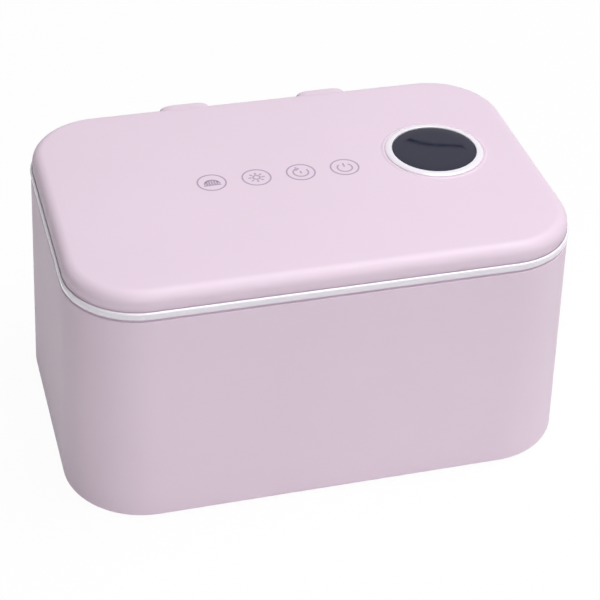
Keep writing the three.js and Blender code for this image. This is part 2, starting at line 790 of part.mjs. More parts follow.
function lidCover() {
  const outside = roundedAbove(lidInset, lidLow, lidTop, lidShoulder);
  const room = roundedAbove(lidInner, lidLow - overrun, lidCeiling, lidShoulder - lidWall);
  const bosses = corners.map(([sx, sy]) =>
    disc(lidBossRadius, panelTop + seat, lidCeiling + bite, sx * lidBossX, sy * lidBossY));
  const pilots = corners.map(([sx, sy]) =>
    disc(smallScrew + slip, panelTop, lidCeiling - bite, sx * lidBossX, sy * lidBossY));
  const window = disc(sleeveRadius + seat, lidCeiling - overrun, lidTop + overrun, displayX, displayY, fineSteps);
  const shell = cut(join([outside, ...lugs()]), [room, window, ...lugSlots()]);
  return cut(join([shell, ...bosses]), pilots);
}

place(lid, "lid_cover", lidCover(), pink);

// Display: bezel ring, glass and its board with the digit module
const bezelTop = lidTop + bezelRise;
const glassLow = bezelTop - glassSink - glassThickness;
const ledgeTop = glassLow - seat;
const bezelLow = ledgeTop - glassLedgeThickness;
const boardLevel = panelTop + bite + seat;
const moduleWide = 36;
const moduleDeep = 20;
const displayBoardRadius = 24;

// The bezel's slope runs from a low step near its outer edge up to the lip round the glass.
function displayBezel() {
  const inner = glassRadius - glassLedge;
  const hole = glassRadius + seat;
  const flangeLow = lidTop + seat;
  const step = lidTop + bezelRise * bezelSlopeShare;
  return turned([
    [inner, bezelLow], [sleeveRadius, bezelLow], [sleeveRadius, flangeLow], [bezelOut, flangeLow],
    [bezelOut - (step - flangeLow), step], [hole + bezelSleeve, bezelTop], [hole, bezelTop], [hole, ledgeTop],
    [inner, ledgeTop], [inner, bezelLow],
  ], displayX, displayY);
}

function displayBoard() {
  const base = disc(displayBoardRadius, boardLevel, boardLevel + boardThickness, displayX, displayY, fineSteps);
  const digits = block(moduleWide, moduleDeep, boardLevel, glassLow - seat, displayX, displayY);
  return base.add(digits);
}

place(lid, "display_bezel", displayBezel(), glossWhite);
place(lid, "display_glass", disc(glassRadius, glassLow, glassLow + glassThickness, displayX, displayY, fineSteps), darkGlass);
place(lid, "display_board", displayBoard(), board);

// Touch keys: a board under the lid with a contact spring below each printed key
const keyCount = 4;
const touchDeep = 22;
const touchMargin = 12;
const springRadius = 3.2;
const springWire = 0.35;
const springTurns = 2;
const springSteps = 24;
const springSides = 4;
const keyPitch = width * keyPitchShare;
const keyX = width * keyFirstShare;
const keyY = depth * keyBackShare;
const touchWide = keyPitch * (keyCount - 1) + 2 * touchMargin;
const touchX = keyX + (keyPitch * (keyCount - 1)) / 2;

class SpringLine extends THREE.Curve {
  constructor(x, y, low, high) {
    super();
    Object.assign(this, { x, y, low, high });
  }

  getPoint(t, target = new THREE.Vector3()) {
    const angle = t * springTurns * 2 * Math.PI;
    const level = this.low + (this.high - this.low) * t;
    return target.set(this.x + springRadius * Math.cos(angle), this.y + springRadius * Math.sin(angle), level);
  }
}

function touchSpring(i) {
  const low = boardLevel + boardThickness + seat + springWire;
  const high = lidCeiling - seat - springWire;
  const section = new THREE.Shape(circle(springWire).getPoints(springSides / 2).slice(0, -1));
  const path = new SpringLine(keyX + i * keyPitch, keyY, low, high);
  return solid(new THREE.ExtrudeGeometry(section, { steps: springSteps, extrudePath: path, bevelEnabled: false }));
}

place(lid, "touch_board", block(touchWide, touchDeep, boardLevel, boardLevel + boardThickness, touchX, keyY), board);
for (let i = 0; i < keyCount; i += 1) {
  place(lid, "touch_spring_" + (i + 1), touchSpring(i), steel);
}

// Lid panel: carries the boards on posts, and holds the windows and the gasket
const lampWide = 118;
const lampDeep = 12;
const lampAcrossShare = 0.22;
const lampBackShare = -0.26;
const windowOpening = 8;
const windowEdge = 3;
const windowThickness = 1.2;
const windowSink = 1;
const lampLed = 3.5;
const lampLedHigh = 1;
const lampCount = 5;
const gasketInset = 5.5;
const gasketWide = 4;
const gasketGrip = 1;
const reflectorThickness = 0.6;
const reflectorGap = 3;
const magnetRadius = 4;
const magnetHigh = 3;
const windowLow = panelTop - windowSink;
const lampLow = windowLow + windowThickness + seat + lampLedHigh;
const lampY = depth * lampBackShare;

function lidInnerPanel() {
  const plate = prism(plan(lidInner + seat), panelLow, panelTop);
  const boardPosts = sides.flatMap((s) => [
    disc(postRadius / 2, panelTop - bite, boardLevel - seat, touchX + s * (touchWide / 2 - postRadius), keyY),
    disc(postRadius / 2, panelTop - bite, boardLevel - seat, displayX, displayY + s * displayBoardRadius / 2),
  ]);
  const openings = sides.flatMap((s) => {
    const x = s * width * lampAcrossShare;
    const wide = lampWide - 2 * windowEdge;
    return [
      block(wide, windowOpening, panelLow - overrun, panelTop + overrun, x, lampY),
      block(wide + 2 * windowEdge + 2 * seat, windowOpening + 2 * windowEdge, windowLow - seat, panelTop + overrun, x, lampY),
    ];
  });
  const groove = band(gasketInset - seat, gasketWide + 2 * seat, panelLow - overrun, panelLow + gasketGrip + seat);
  const holes = corners.map(([sx, sy]) =>
    disc(smallScrew + slip, panelLow - overrun, panelTop + overrun, sx * lidBossX, sy * lidBossY));
  return cut(join([plate, ...boardPosts]), [...openings, groove, ...holes]);
}

function gasket() {
  return band(gasketInset, gasketWide, ringTop + seat, panelLow + gasketGrip);
}

function reflector() {
  const high = panelLow - seat;
  const low = high - reflectorThickness;
  const openings = sides.map((s) => block(lampWide - 2 * windowEdge, windowOpening, low - overrun,
    high + overrun, s * width * lampAcrossShare, lampY));
  const holes = corners.map(([sx, sy]) =>
    disc(2 * smallScrew + seat, low - overrun, high + overrun, sx * lidBossX, sy * lidBossY));
  return cut(prism(plan(linerInset + linerWall + reflectorGap), low, high), [...openings, ...holes]);
}

function uvBoard(s) {
  const x = s * width * lampAcrossShare;
  const strip = block(lampWide, lampDeep, lampLow, lampLow + boardThickness, x, lampY);
  const lamps = Array.from({ length: lampCount }, (_, i) => {
    const step = (lampWide - 4 * windowEdge) / lampCount;
    return block(lampLed, lampLed, lampLow - lampLedHigh, lampLow + boardThickness / 2,
      x + (i - (lampCount - 1) / 2) * step, lampY);
  });
  return join([strip, ...lamps]);
}

place(lid, "lid_inner_panel", lidInnerPanel(), white);
place(lid, "lid_gasket", gasket(), silicone);
place(lid, "lid_reflector", reflector(), steel);
sides.forEach((s) => {
  const hand = s < 0 ? "left" : "right";
  const glassWide = lampWide;
  const glassDeep = windowOpening + 2 * windowEdge - 2 * seat;
  place(lid, "uv_board_" + hand, uvBoard(s), whiteBoard);
  place(lid, "uv_window_" + hand,
    block(glassWide, glassDeep, windowLow, windowLow + windowThickness, s * width * lampAcrossShare, lampY), quartz);
});
corners.forEach(([sx, sy], i) => {
  const headHigh = panelLow - seat;
  place(lid, "lid_screw_" + (i + 1), screw(sx * lidBossX, sy * lidBossY, headHigh - reflectorThickness, headHigh,
    lidCeiling - 2 * bite, smallScrew), steel);
});

// Lid magnet over the sensor, and the harness from the left lug to the boards
const magnetX = width * sensorAcrossShare;
const magnetY = depth / 2 - linerInset - magnetRadius;

function lidHarness() {
  const level = panelTop + seat + harnessRadius;
  const start = new THREE.Vector3(-hingeX, depth / 2 - lidInner - lidShoulder, level);
  const middle = new THREE.Vector3(-hingeX, (start.y + keyY + touchDeep) / 2, level);
  const end = new THREE.Vector3(-hingeX, keyY + touchDeep / 2 + seat, level);
  return tube([start, middle, end], harnessRadius / 2, leadSteps, leadSides);
}

place(lid, "lid_magnet", disc(magnetRadius, panelTop + seat, panelTop + seat + magnetHigh, magnetX, magnetY), steel);
place(lid, "lid_harness", lidHarness(), black);

export default part;
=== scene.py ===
"""A box-shaped ultraviolet steriliser and dryer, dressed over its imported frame.

Lengths below are millimetres in the frame's axes: +X right, +Y rear, +Z up. They become metres when a
surface is put into a mesh. A surface is (points, faces), with points in rows of x, y, z. The small numbers
that are added to named levels in the sections are the sizes of their chamfers.
"""

import json
import math

import bmesh
import bpy
import numpy as np
from mathutils import Matrix


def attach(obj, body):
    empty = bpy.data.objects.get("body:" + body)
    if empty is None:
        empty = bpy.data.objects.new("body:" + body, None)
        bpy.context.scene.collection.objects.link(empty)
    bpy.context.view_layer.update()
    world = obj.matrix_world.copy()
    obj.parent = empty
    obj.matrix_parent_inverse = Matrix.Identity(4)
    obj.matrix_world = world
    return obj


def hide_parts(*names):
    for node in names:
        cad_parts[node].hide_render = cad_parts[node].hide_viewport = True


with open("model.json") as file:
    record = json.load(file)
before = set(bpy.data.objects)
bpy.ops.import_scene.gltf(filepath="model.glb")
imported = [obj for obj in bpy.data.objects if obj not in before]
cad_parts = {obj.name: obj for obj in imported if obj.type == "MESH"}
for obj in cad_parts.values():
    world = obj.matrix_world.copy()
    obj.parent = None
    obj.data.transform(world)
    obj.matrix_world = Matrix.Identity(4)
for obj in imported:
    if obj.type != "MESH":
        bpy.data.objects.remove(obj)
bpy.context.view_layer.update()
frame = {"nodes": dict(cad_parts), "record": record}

MM = 0.001

# The object's sizes, as the frame has them

WIDE, DEEP, CORNER = 320.0, 212.0, 47.5
MIDDLE_Y = -4.05
REAR = MIDDLE_Y + DEEP / 2
SHELL_LOW, SHELL_TOP, SHELL_FLARE = 2.0, 151.2, 5.0
SHELL_WALL, SHELL_LEDGE, FOOT_ROUND = 2.8, 2.5, 3.0
RING_LOW, RING_TOP, RING_PROUD = 151.5, 156.5, 0.4
LID_LOW, LID_TOP = 157.2, 168.7
LID_INSET, LID_SHOULDER, LID_WALL = 1.3, 7.6, 2.5
TUB_INSET, TUB_WALL, TUB_FLOOR = 11.0, 0.8, 38.0
HINGE_X, HINGE_Y, HINGE_Z = 0.1496 * WIDE, REAR + 6.5, RING_LOW + 2.5
DISPLAY_X, DISPLAY_Y, GLASS_RADIUS = 0.302 * WIDE, MIDDLE_Y + 0.0567 * DEEP, 27.3
KEY_FIRST, KEY_PITCH = -0.1666 * WIDE, 0.0908 * WIDE
KEY_Y, KEY_RING = MIDDLE_Y + 0.0235 * DEEP, 9.6
PLATE_TOP = 5.5
FAN_X = 64.0

# How finely curves are drawn, how far a mitre may reach, and two lengths that count as nothing

ARC_STEPS, ARC_LEAD, ROUND_STEPS = 24, 2.0, 96
MITRE_LIMIT = 2.0
HAIR, SAME_POINT = 1e-12, 1e-6


# Surfaces

def grid_faces(rows, columns, round_rows=False, round_columns=False):
    """Quads between neighbours of a grid of points; a round direction joins its last line to its first."""
    r = np.arange(rows if round_rows else rows - 1)
    c = np.arange(columns if round_columns else columns - 1)
    r, c = np.meshgrid(r, c, indexing="ij")
    r2, c2 = (r + 1) % rows, (c + 1) % columns
    quads = np.stack([r * columns + c, r2 * columns + c, r2 * columns + c2, r * columns + c2], -1)
    return quads.reshape(-1, 4).tolist()


def skinned(loops, closed):
    """A skin over loops of points, each joined to the next. A closed skin joins the last loop to the first,
    and an open one has its first and last loops filled by one flat face each."""
    rows, columns = loops.shape[:2]
    faces = grid_faces(rows, columns, closed, True)
    if not closed:
        faces += [list(range(columns)), list(range((rows - 1) * columns, rows * columns))]
    return loops.reshape(-1, 3), faces


def plan_loops(profile):
    """The plan's outline for each (inset, height) of a profile: a quarter circle of radius CORNER - inset
    round each of the four corner centres, with a point on the straight sides by each end of every arc."""
    inset, height = np.array(profile, float).T[:, :, None, None]
    turn = np.linspace(0.0, np.pi / 2, ARC_STEPS + 1) + np.arange(4)[:, None] * np.pi / 2
    centre_x = np.array([1, -1, -1, 1])[:, None] * (WIDE / 2 - CORNER)
    centre_y = np.array([1, 1, -1, -1])[:, None] * (DEEP / 2 - CORNER)
    x = centre_x + (CORNER - inset) * np.cos(turn)
    y = centre_y + (CORNER - inset) * np.sin(turn)
    lead_x, lead_y = -ARC_LEAD * np.sin(turn), ARC_LEAD * np.cos(turn)
    x = np.concatenate([x[..., :1] - lead_x[:, :1], x, x[..., -1:] + lead_x[:, -1:]], -1)
    y = np.concatenate([y[..., :1] - lead_y[:, :1], y, y[..., -1:] + lead_y[:, -1:]], -1) + MIDDLE_Y
    return np.stack([x, y, np.broadcast_to(height, x.shape)], -1).reshape(len(profile), -1, 3)


def round_plan(profile, closed):
    """A profile of (inset, height) carried round the plan's outline."""
    return skinned(plan_loops(profile), closed)


def turned(profile, x, y, closed=True, steps=ROUND_STEPS):
    """A profile of (radius, height) turned round the upright axis at x, y."""
    profile = np.array(profile, float)
    turn = np.linspace(0, 2 * np.pi, steps, endpoint=False)
    px = x + profile[:, None, 0] * np.cos(turn)
    py = y + profile[:, None, 0] * np.sin(turn)
    pz = np.broadcast_to(profile[:, None, 1], px.shape)
    return skinned(np.stack([px, py, pz], -1), closed)


def extruded(outline, low, high, axes="xyz", edge=0.0, run=None, edge_steps=4):
    """A flat outline grown from low to high. Over the last run before each end it is drawn in along its
    normals by a quarter ellipse, by edge in all. axes names where the outline's two directions and its
    growth lie. At a corner the draw is stretched to keep its walls even, up to MITRE_LIMIT."""
    run = edge if run is None else run
    outline = np.array(outline, float)
    turn = np.linspace(0, np.pi / 2, edge_steps + 1) if edge else np.zeros(1)
    draw, climb = edge * (1 - np.sin(turn)), run * (1 - np.cos(turn))
    levels = np.concatenate([low + climb, (high - climb)[::-1]])
    draws = np.concatenate([draw, draw[::-1]])
    ahead, behind = np.roll(outline, -1, 0), np.roll(outline, 1, 0)
    one, two = ahead - outline, outline - behind
    one /= np.linalg.norm(one, axis=1, keepdims=True) + HAIR
    two /= np.linalg.norm(two, axis=1, keepdims=True) + HAIR
    tangent = one + two
    tangent /= np.linalg.norm(tangent, axis=1, keepdims=True) + HAIR
    normal = np.stack([tangent[:, 1], -tangent[:, 0]], -1)
    area = np.sum(outline[:, 0] * ahead[:, 1] - ahead[:, 0] * outline[:, 1])
    normal *= np.sign(area)
    stretch = 1 / np.clip(np.sum(tangent * one, 1), 1 / MITRE_LIMIT, 1)
    flat = outline[None] - normal[None] * (draws[:, None] * stretch[None])[..., None]
    lengths = np.broadcast_to(levels[:, None, None], flat.shape[:2] + (1,))
    grown = np.concatenate([flat, lengths], -1)
    return skinned(grown[..., [axes.index(axis) for axis in "xyz"]], False)


def soft_box(across, along, radius, x=0.0, y=0.0, steps=6):
    """A rectangle about x, y with its corners rounded by quarter circles."""
    turn = np.linspace(0, np.pi / 2, steps + 1)
    quarters = (turn[None] + np.arange(4)[:, None] * np.pi / 2).ravel()
    side_x = np.repeat([1, -1, -1, 1], steps + 1) * (across / 2 - radius)
    side_y = np.repeat([1, 1, -1, -1], steps + 1) * (along / 2 - radius)
    return np.stack([x + side_x + radius * np.cos(quarters), y + side_y + radius * np.sin(quarters)], -1)


def circle(radius, x, y, steps):
    """Points at even turns on a circle about x, y."""
    turn = np.linspace(0, 2 * np.pi, steps, endpoint=False)
    return np.stack([x + radius * np.cos(turn), y + radius * np.sin(turn)], -1)


def swept(path, section, upward, closed=False):
    """A section of (side, up) carried along a path. The up direction is the given vector made square to
    the path's tangent, and side is square to both."""
    path, section, upward = np.array(path, float), np.array(section, float), np.array(upward, float)
    tangent = np.roll(path, -1, 0) - np.roll(path, 1, 0) if closed else np.gradient(path, axis=0)
    tangent /= np.linalg.norm(tangent, axis=1, keepdims=True)
    up = upward[None] - tangent * (tangent @ upward)[:, None]
    up /= np.linalg.norm(up, axis=1, keepdims=True)
    side = np.cross(tangent, up)
    across, along = section[None, :, :1], section[None, :, 1:]
    return skinned(path[:, None] + across * side[:, None] + along * up[:, None], closed)


# Pieces

def mesh_of(name, surfaces):
    """One mesh from surfaces, in metres, its seams and poles closed and its faces turned outwards."""
    points, faces, first = [], [], 0
    for surface_points, surface_faces in surfaces:
        points.append(surface_points)
        faces += [[first + i for i in face] for face in surface_faces]
        first += len(surface_points)
    mesh = bpy.data.meshes.new(name)
    mesh.from_pydata((np.concatenate(points) * MM).tolist(), [], faces)
    shape = bmesh.new()
    shape.from_mesh(mesh)
    bmesh.ops.remove_doubles(shape, verts=shape.verts, dist=SAME_POINT)
    bmesh.ops.recalc_face_normals(shape, faces=shape.faces)
    shape.to_mesh(mesh)
    shape.free()
    return mesh


def raw(name, surfaces):
    """An object of surfaces as they are, with no finish."""
    thing = bpy.data.objects.new(name, mesh_of(name, surfaces))
    bpy.context.scene.collection.objects.link(thing)
    return thing


def combine(thing, surfaces, operation):
    """Joins surfaces to a piece, or cuts them from it, and keeps the result as its mesh."""
    tool = raw(thing.name + "_tool", surfaces)
    change = thing.modifiers.new("change", "BOOLEAN")
    change.operation = operation
    change.solver = "EXACT"
    change.object = tool
    bpy.context.view_layer.update()
    graph = bpy.context.evaluated_depsgraph_get()
    made = bpy.data.meshes.new_from_object(thing.evaluated_get(graph))
    thing.modifiers.clear()
    thing.data = made
    bpy.data.objects.remove(tool)


def smooth(thing, angle=35):
    """Shades a piece smoothly, apart from edges that turn by more than an angle in degrees."""
    mesh = thing.data
    mesh.polygons.foreach_set("use_smooth", np.ones(len(mesh.polygons), bool))
    mesh.set_sharp_from_angle(angle=math.radians(angle))


def piece(name, surfaces, body, slot, cuts=(), joined=(), nodes=(), material=None, angle=35):
    """A finished piece: surfaces, with others joined to it and cut from it, riding on a body."""
    thing = raw(name, surfaces)
    for one in joined:
        combine(thing, [one], "UNION")
    if cuts:
        combine(thing, list(cuts), "DIFFERENCE")
    smooth(thing, angle)
    thing.data.materials.clear()
    thing.data.materials.append(material or FINISHES[slot])
    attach(thing, body)
    if nodes:
        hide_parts(*nodes)


# Materials, all from nodes that read Object coordinates

def linear(red, green, blue):
    """A display colour of 0 to 255 as linear light."""
    channel = np.array([red, green, blue]) / 255.0
    light = np.where(channel <= 0.04045, channel / 12.92, ((channel + 0.055) / 1.055) ** 2.4)
    return (*light.tolist(), 1.0)


def scaled(colour, share):
    """A colour with its channels multiplied by a share, up to white."""
    return (*(min(1.0, channel * share) for channel in colour[:3]), 1.0)


class Finish:
    """A material built round one surface shader, with short calls for the nodes that feed it."""

    def __init__(self, name, colour, roughness, metallic=0.0, **sockets):
        self.material = bpy.data.materials.new(name)
        self.material.use_nodes = True
        self.tree = self.material.node_tree
        self.surface = self.tree.nodes["Principled BSDF"]
        self.surface.inputs["Base Color"].default_value = colour
        self.surface.inputs["Roughness"].default_value = roughness
        self.surface.inputs["Metallic"].default_value = metallic
        for socket, value in sockets.items():
            self.surface.inputs[socket.replace("_", " ")].default_value = value
        self.colour, self.roughness = colour, roughness
        self.place = self.node("ShaderNodeTexCoord").outputs["Object"]

    def node(self, kind, **settings):
        """A new node with some of its settings given."""
        made = self.tree.nodes.new(kind)
        for name, value in settings.items():
            setattr(made, name, value)
        return made

    def link(self, source, target):
        """Joins an output to an input."""
        self.tree.links.new(source, target)

    def stretched(self, scale):
        """The place on the piece with each axis multiplied by its own scale."""
        moved = self.node("ShaderNodeMapping")
        moved.inputs["Scale"].default_value = scale
        self.link(self.place, moved.inputs["Vector"])
        return moved.outputs["Vector"]

    def noise(self, scale, detail=3.0, stretch=None):
        """Fractal noise of a scale in periods per metre."""
        made = self.node("ShaderNodeTexNoise")
        made.inputs["Scale"].default_value = scale
        made.inputs["Detail"].default_value = detail
        self.link(self.stretched(stretch) if stretch else self.place, made.inputs["Vector"])
        return made.outputs["Fac"]

    def pattern(self, kind, scale, output, **settings):
        """A cell or wave texture of a scale in periods per metre."""
        made = self.node(kind, **settings)
        made.inputs["Scale"].default_value = scale
        self.link(self.place, made.inputs["Vector"])
        return made.outputs[output]

    def ranged(self, value, low, high, from_low=0.3, from_high=0.7):
        """A value moved evenly from one range to another, and held at its ends."""
        made = self.node("ShaderNodeMapRange")
        ends = {"From Min": from_low, "From Max": from_high, "To Min": low, "To Max": high}
        for socket, number in ends.items():
            made.inputs[socket].default_value = number
        self.link(value, made.inputs["Value"])
        return made.outputs["Result"]

    def mixed(self, factor, one, two):
        """One colour at 0 and another at 1."""
        made = self.node("ShaderNodeMix", data_type="RGBA")
        for socket in made.inputs:
            if socket.name == "A" and socket.type == "RGBA":
                socket.default_value = one
            if socket.name == "B" and socket.type == "RGBA":
                socket.default_value = two
        self.link(factor, made.inputs["Factor"])
        return next(out for out in made.outputs if out.type == "RGBA")

    def paint(self, factor, one, two):
        """The base colour goes from one colour to another with a factor."""
        self.link(self.mixed(factor, one, two), self.surface.inputs["Base Color"])

    def mottle(self, factor, share):
        """The base colour swings by a share of itself with a factor."""
        self.paint(self.ranged(factor, 0, 1), scaled(self.colour, 1 - share), scaled(self.colour, 1 + share))

    def polish(self, factor, swing):
        """The roughness swings about its own value with a factor."""
        self.link(self.ranged(factor, self.roughness - swing, self.roughness + swing),
                  self.surface.inputs["Roughness"])

    def relief(self, height, depth_mm, strength=1.0):
        """Fine relief in the surface, of a depth in millimetres where the height is 1."""
        made = self.node("ShaderNodeBump")
        made.inputs["Distance"].default_value = depth_mm * MM
        made.inputs["Strength"].default_value = strength
        self.link(height, made.inputs["Height"])
        self.link(made.outputs["Normal"], self.surface.inputs["Normal"])


def moulded(name, colour, roughness, grain_mm=0.02, **sockets):
    """Moulded plastic: a faint cloud in its colour, an even sheen and a fine grain."""
    made = Finish(name, colour, roughness, **sockets)
    made.mottle(made.noise(scale=9, detail=2), share=0.012)
    made.polish(made.noise(scale=60), swing=0.03)
    made.relief(made.noise(scale=1600, detail=2), grain_mm, strength=0.35)
    return made.material


def brushed(name, colour, roughness, stretch, depth_mm=0.01):
    """Sheet metal drawn in one direction: noise pulled out into long streaks."""
    made = Finish(name, colour, roughness, 1.0)
    streaks = made.noise(900, 4, stretch)
    made.mottle(made.noise(30, 3, stretch), share=0.05)
    made.polish(streaks, swing=0.06)
    made.relief(streaks, depth_mm, strength=0.25)
    return made.material


def plated(name, colour, roughness):
    """Plated or turned metal with small stains."""
    made = Finish(name, colour, roughness, 1.0)
    made.mottle(made.noise(scale=350, detail=4), share=0.06)
    made.polish(made.noise(scale=900, detail=2), swing=0.05)
    return made.material


def rubbery(name, colour, roughness=0.8, **sockets):
    """Rubber or silicone: a matt face with a coarse cloud and a fine grain."""
    made = Finish(name, colour, roughness, **sockets)
    made.mottle(made.noise(scale=120, detail=4), share=0.08)
    made.relief(made.noise(scale=2500), 0.03, strength=0.6)
    return made.material


def circuit(name, colour, trace):
    """A board: square noise cells stand for copper runs under the lacquer."""
    made = Finish(name, colour, 0.35, Coat_Weight=0.4, Coat_Roughness=0.15)
    cells = made.pattern("ShaderNodeTexVoronoi", 260, "Distance", distance="MANHATTAN")
    made.paint(made.ranged(cells, 0, 1, 0.34, 0.4), colour, trace)
    return made.material


# Painted shade: the near-black colour of the filter foam's pores, standing for the shade in its holes
PAINTED_PORE_SHADE = (0.01, 0.01, 0.011, 1)


def meshwork(name, colour):
    """An open filter foam: fine cells give both its colour and its relief. The strands are a lighter tone of
    the foam's colour, and the pores are painted near black as painted shade in the holes.
    """
    made = Finish(name, colour, 0.95)
    cells = made.pattern("ShaderNodeTexVoronoi", 900, "Distance")
    # Painted shade: the pores, where the cells and the relief are lowest, go near black
    made.paint(made.ranged(cells, 0, 1, 0.1, 0.6), PAINTED_PORE_SHADE, scaled(colour, 2.2))
    made.relief(cells, 0.4)
    return made.material


def winding(name, colour):
    """Enamelled wire laid in turns: a band pattern along the height. It gives the relief and also paints
    shade in the creases between turns and light on their crests.
    """
    made = Finish(name, colour, 0.3, 0.9)
    turns = made.pattern("ShaderNodeTexWave", 420, "Fac", bands_direction="Z")
    turns.node.inputs["Distortion"].default_value = 0.4
    # Painted shade and light: the base colour is darker in the creases between turns and lighter on their
    # crests
    made.mottle(turns, share=0.3)
    made.relief(turns, 0.2)
    return made.material


def clear_glass(name):
    """Clear quartz with a faint cloud in its polish."""
    made = Finish(name, (0.9, 0.94, 1.0, 1.0), 0.03, Transmission_Weight=0.9, IOR=1.46)
    made.polish(made.noise(scale=80), swing=0.015)
    return made.material


def smoked(name):
    """The dark window: nearly black under a hard clear face, with a faint even cloud."""
    made = Finish(name, linear(35, 36, 56), 0.02, Specular_IOR_Level=0.19)
    made.mottle(made.noise(scale=14, detail=2), share=0.05)
    made.polish(made.noise(scale=200, detail=2), swing=0.008)
    return made.material


FINISHES = {
    "pink_shell": moulded("pink_shell", linear(228, 208, 224), 0.5),
    "gloss_white": moulded("gloss_white", linear(236, 230, 240), 0.25, 0.004,
                           Specular_IOR_Level=0.9, Coat_Weight=1.0, Coat_Roughness=0.18),
    "white_plastic": moulded("white_plastic", linear(226, 224, 228), 0.45),
    "tub_steel": brushed("tub_steel", (0.5, 0.51, 0.53, 1), 0.24, (1, 1, 0.03), 0.004),
    "rack_chrome": plated("rack_chrome", (0.8, 0.81, 0.83, 1), 0.1),
    "pin_steel": plated("pin_steel", (0.6, 0.6, 0.62, 1), 0.28),
    "foot_rubber": rubbery("foot_rubber", linear(120, 114, 122)),
    "filter_mesh": meshwork("filter_mesh", (0.06, 0.06, 0.065, 1)),
    "black_plastic": moulded("black_plastic", (0.022, 0.022, 0.025, 1), 0.45, 0.04),
    "coil_copper": winding("coil_copper", (0.5, 0.22, 0.1, 1)),
    "heater_metal": brushed("heater_metal", (0.6, 0.61, 0.62, 1), 0.35, (1, 0.04, 1)),
    "green_board": circuit("green_board", (0.02, 0.12, 0.05, 1), (0.04, 0.2, 0.08, 1)),
    "lamp_board": circuit("lamp_board", (0.76, 0.78, 0.76, 1), (0.6, 0.61, 0.58, 1)),
    "pin_brass": plated("pin_brass", (0.62, 0.5, 0.26, 1), 0.22),
    "lead_rubber": rubbery("lead_rubber", (0.02, 0.02, 0.024, 1), 0.6),
    "smoked_glass": smoked("smoked_glass"),
    "gasket_silicone": rubbery("gasket_silicone", linear(222, 219, 223), 0.6, Subsurface_Weight=0.1),
    "quartz_glass": clear_glass("quartz_glass"),
}
INK = moulded("key_ink", linear(176, 160, 181), 0.5, 0.004)


# Body

SEAT = 0.3
BOSS_RADIUS, BOSS_BORE, BOSS_LOW, BOSS_HIGH, BOSS_BITE = 6.5, 1.85, 6.0, 30.1, 1.0
SHADOW_HIGH, SHADOW_DEEP = 1.2, 1.7
LEDGE_SLOPE = 1.5
SLOT_WIDE, SLOT_HIGH, SLOT_ROUND, SLOT_PITCH, SLOT_COUNT, SLOTS_BELOW_TOP = 3, 22, 1.4, 7, 6, 34
INLET_X, INLET_Z, INLET_WIDE, INLET_HIGH = -96.0, 18.0, 26, 19
BEHIND_WALL, IN_WALL = REAR + SHELL_FLARE + 2, REAR - 5
CORNERS = [(-1, -1), (1, -1), (-1, 1), (1, 1)]


def rounded_top(inset, top, radius, steps):
    """The outer edge of a wall: from its face over a quarter circle to its top."""
    return [(inset + radius - radius * math.cos(t), top - radius + radius * math.sin(t))
            for t in np.linspace(0, math.pi / 2, steps + 1)]


def draft_at(level):
    """How far the wall stands out at a level: its mould's draft widens it evenly towards the foot."""
    return SHELL_FLARE * (SHELL_TOP - level) / (SHELL_TOP - SHELL_LOW)


def shell_profile():
    """The wall's section: a small round foot, a drafted face, a shadow step under the ring and a ledge that
    the ring and the tub sit on. The step and the ledge are upright, and the rest leans with the draft."""
    low, top = SHELL_LOW, SHELL_TOP
    step, under, ledge = top - SHADOW_HIGH, top - SHELL_LEDGE, TUB_INSET - SEAT
    foot = [(FOOT_ROUND - FOOT_ROUND * math.sin(t), low + FOOT_ROUND - FOOT_ROUND * math.cos(t))
            for t in np.linspace(0, math.pi / 2, 9)]
    outside = foot + [(0, low + FOOT_ROUND + 2), (0, top - 3)] + rounded_top(0, step, 0.3, 4)
    across = [(SHADOW_DEEP - 0.2, step), (SHADOW_DEEP, step + 0.2), (SHADOW_DEEP, top), (ledge - 0.3, top),
              (ledge, top - 0.3), (ledge, under + 0.3), (ledge - 0.3, under)]
    inside = [(SHELL_WALL + LEDGE_SLOPE, under), (SHELL_WALL, under - LEDGE_SLOPE), (SHELL_WALL, low + 1.2),
              (SHELL_WALL + 0.2, low + 0.4), (SHELL_WALL + 0.2, low)]
    return ([(inset - draft_at(level), level) for inset, level in outside] + across
            + [(inset - draft_at(level), level) for inset, level in inside])


def rear_slots(from_y, to_y):
    """Upright slots with round ends, side by side in the rear wall at an even pitch."""
    level = SHELL_TOP - SLOTS_BELOW_TOP
    middle = (SLOT_COUNT - 1) / 2
    outlines = [soft_box(SLOT_WIDE, SLOT_HIGH, SLOT_ROUND, (i - middle) * SLOT_PITCH, level, 5)
                for i in range(SLOT_COUNT)]
    return [extruded(outline, from_y, to_y, "xzy") for outline in outlines]


def boss(x, y):
    """A bored post for a base screw: a short cone leads from its side to its top."""
    lead = BOSS_HIGH - 0.6
    return turned([(BOSS_BORE, BOSS_LOW), (BOSS_RADIUS, BOSS_LOW), (BOSS_RADIUS, lead),
                   (BOSS_RADIUS - 0.6, BOSS_HIGH), (BOSS_BORE, BOSS_HIGH)], x, y, steps=48)


# The bosses bite into the shell on the diagonals of its corners
boss_out = (CORNER + draft_at(PLATE_TOP) - SHELL_WALL - BOSS_RADIUS + BOSS_BITE) * math.sqrt(0.5)
BOSS_X, BOSS_Y = WIDE / 2 - CORNER + boss_out, DEEP / 2 - CORNER + boss_out

socket_box = soft_box(INLET_WIDE + 2 * SEAT, INLET_HIGH + 2 * SEAT, 0.6, INLET_X, INLET_Z, 3)
socket_hole = extruded(socket_box, IN_WALL, BEHIND_WALL, "xzy")
piece("body_shell", [round_plan(shell_profile(), True)], "housing", "pink_shell",
      cuts=[*rear_slots(IN_WALL, BEHIND_WALL), socket_hole], nodes=["outer_shell"])
piece("shell_bosses", [boss(sx * BOSS_X, MIDDLE_Y + sy * BOSS_Y) for sx, sy in CORNERS], "housing",
      "pink_shell")


# White ring with the hinge's fixed knuckles

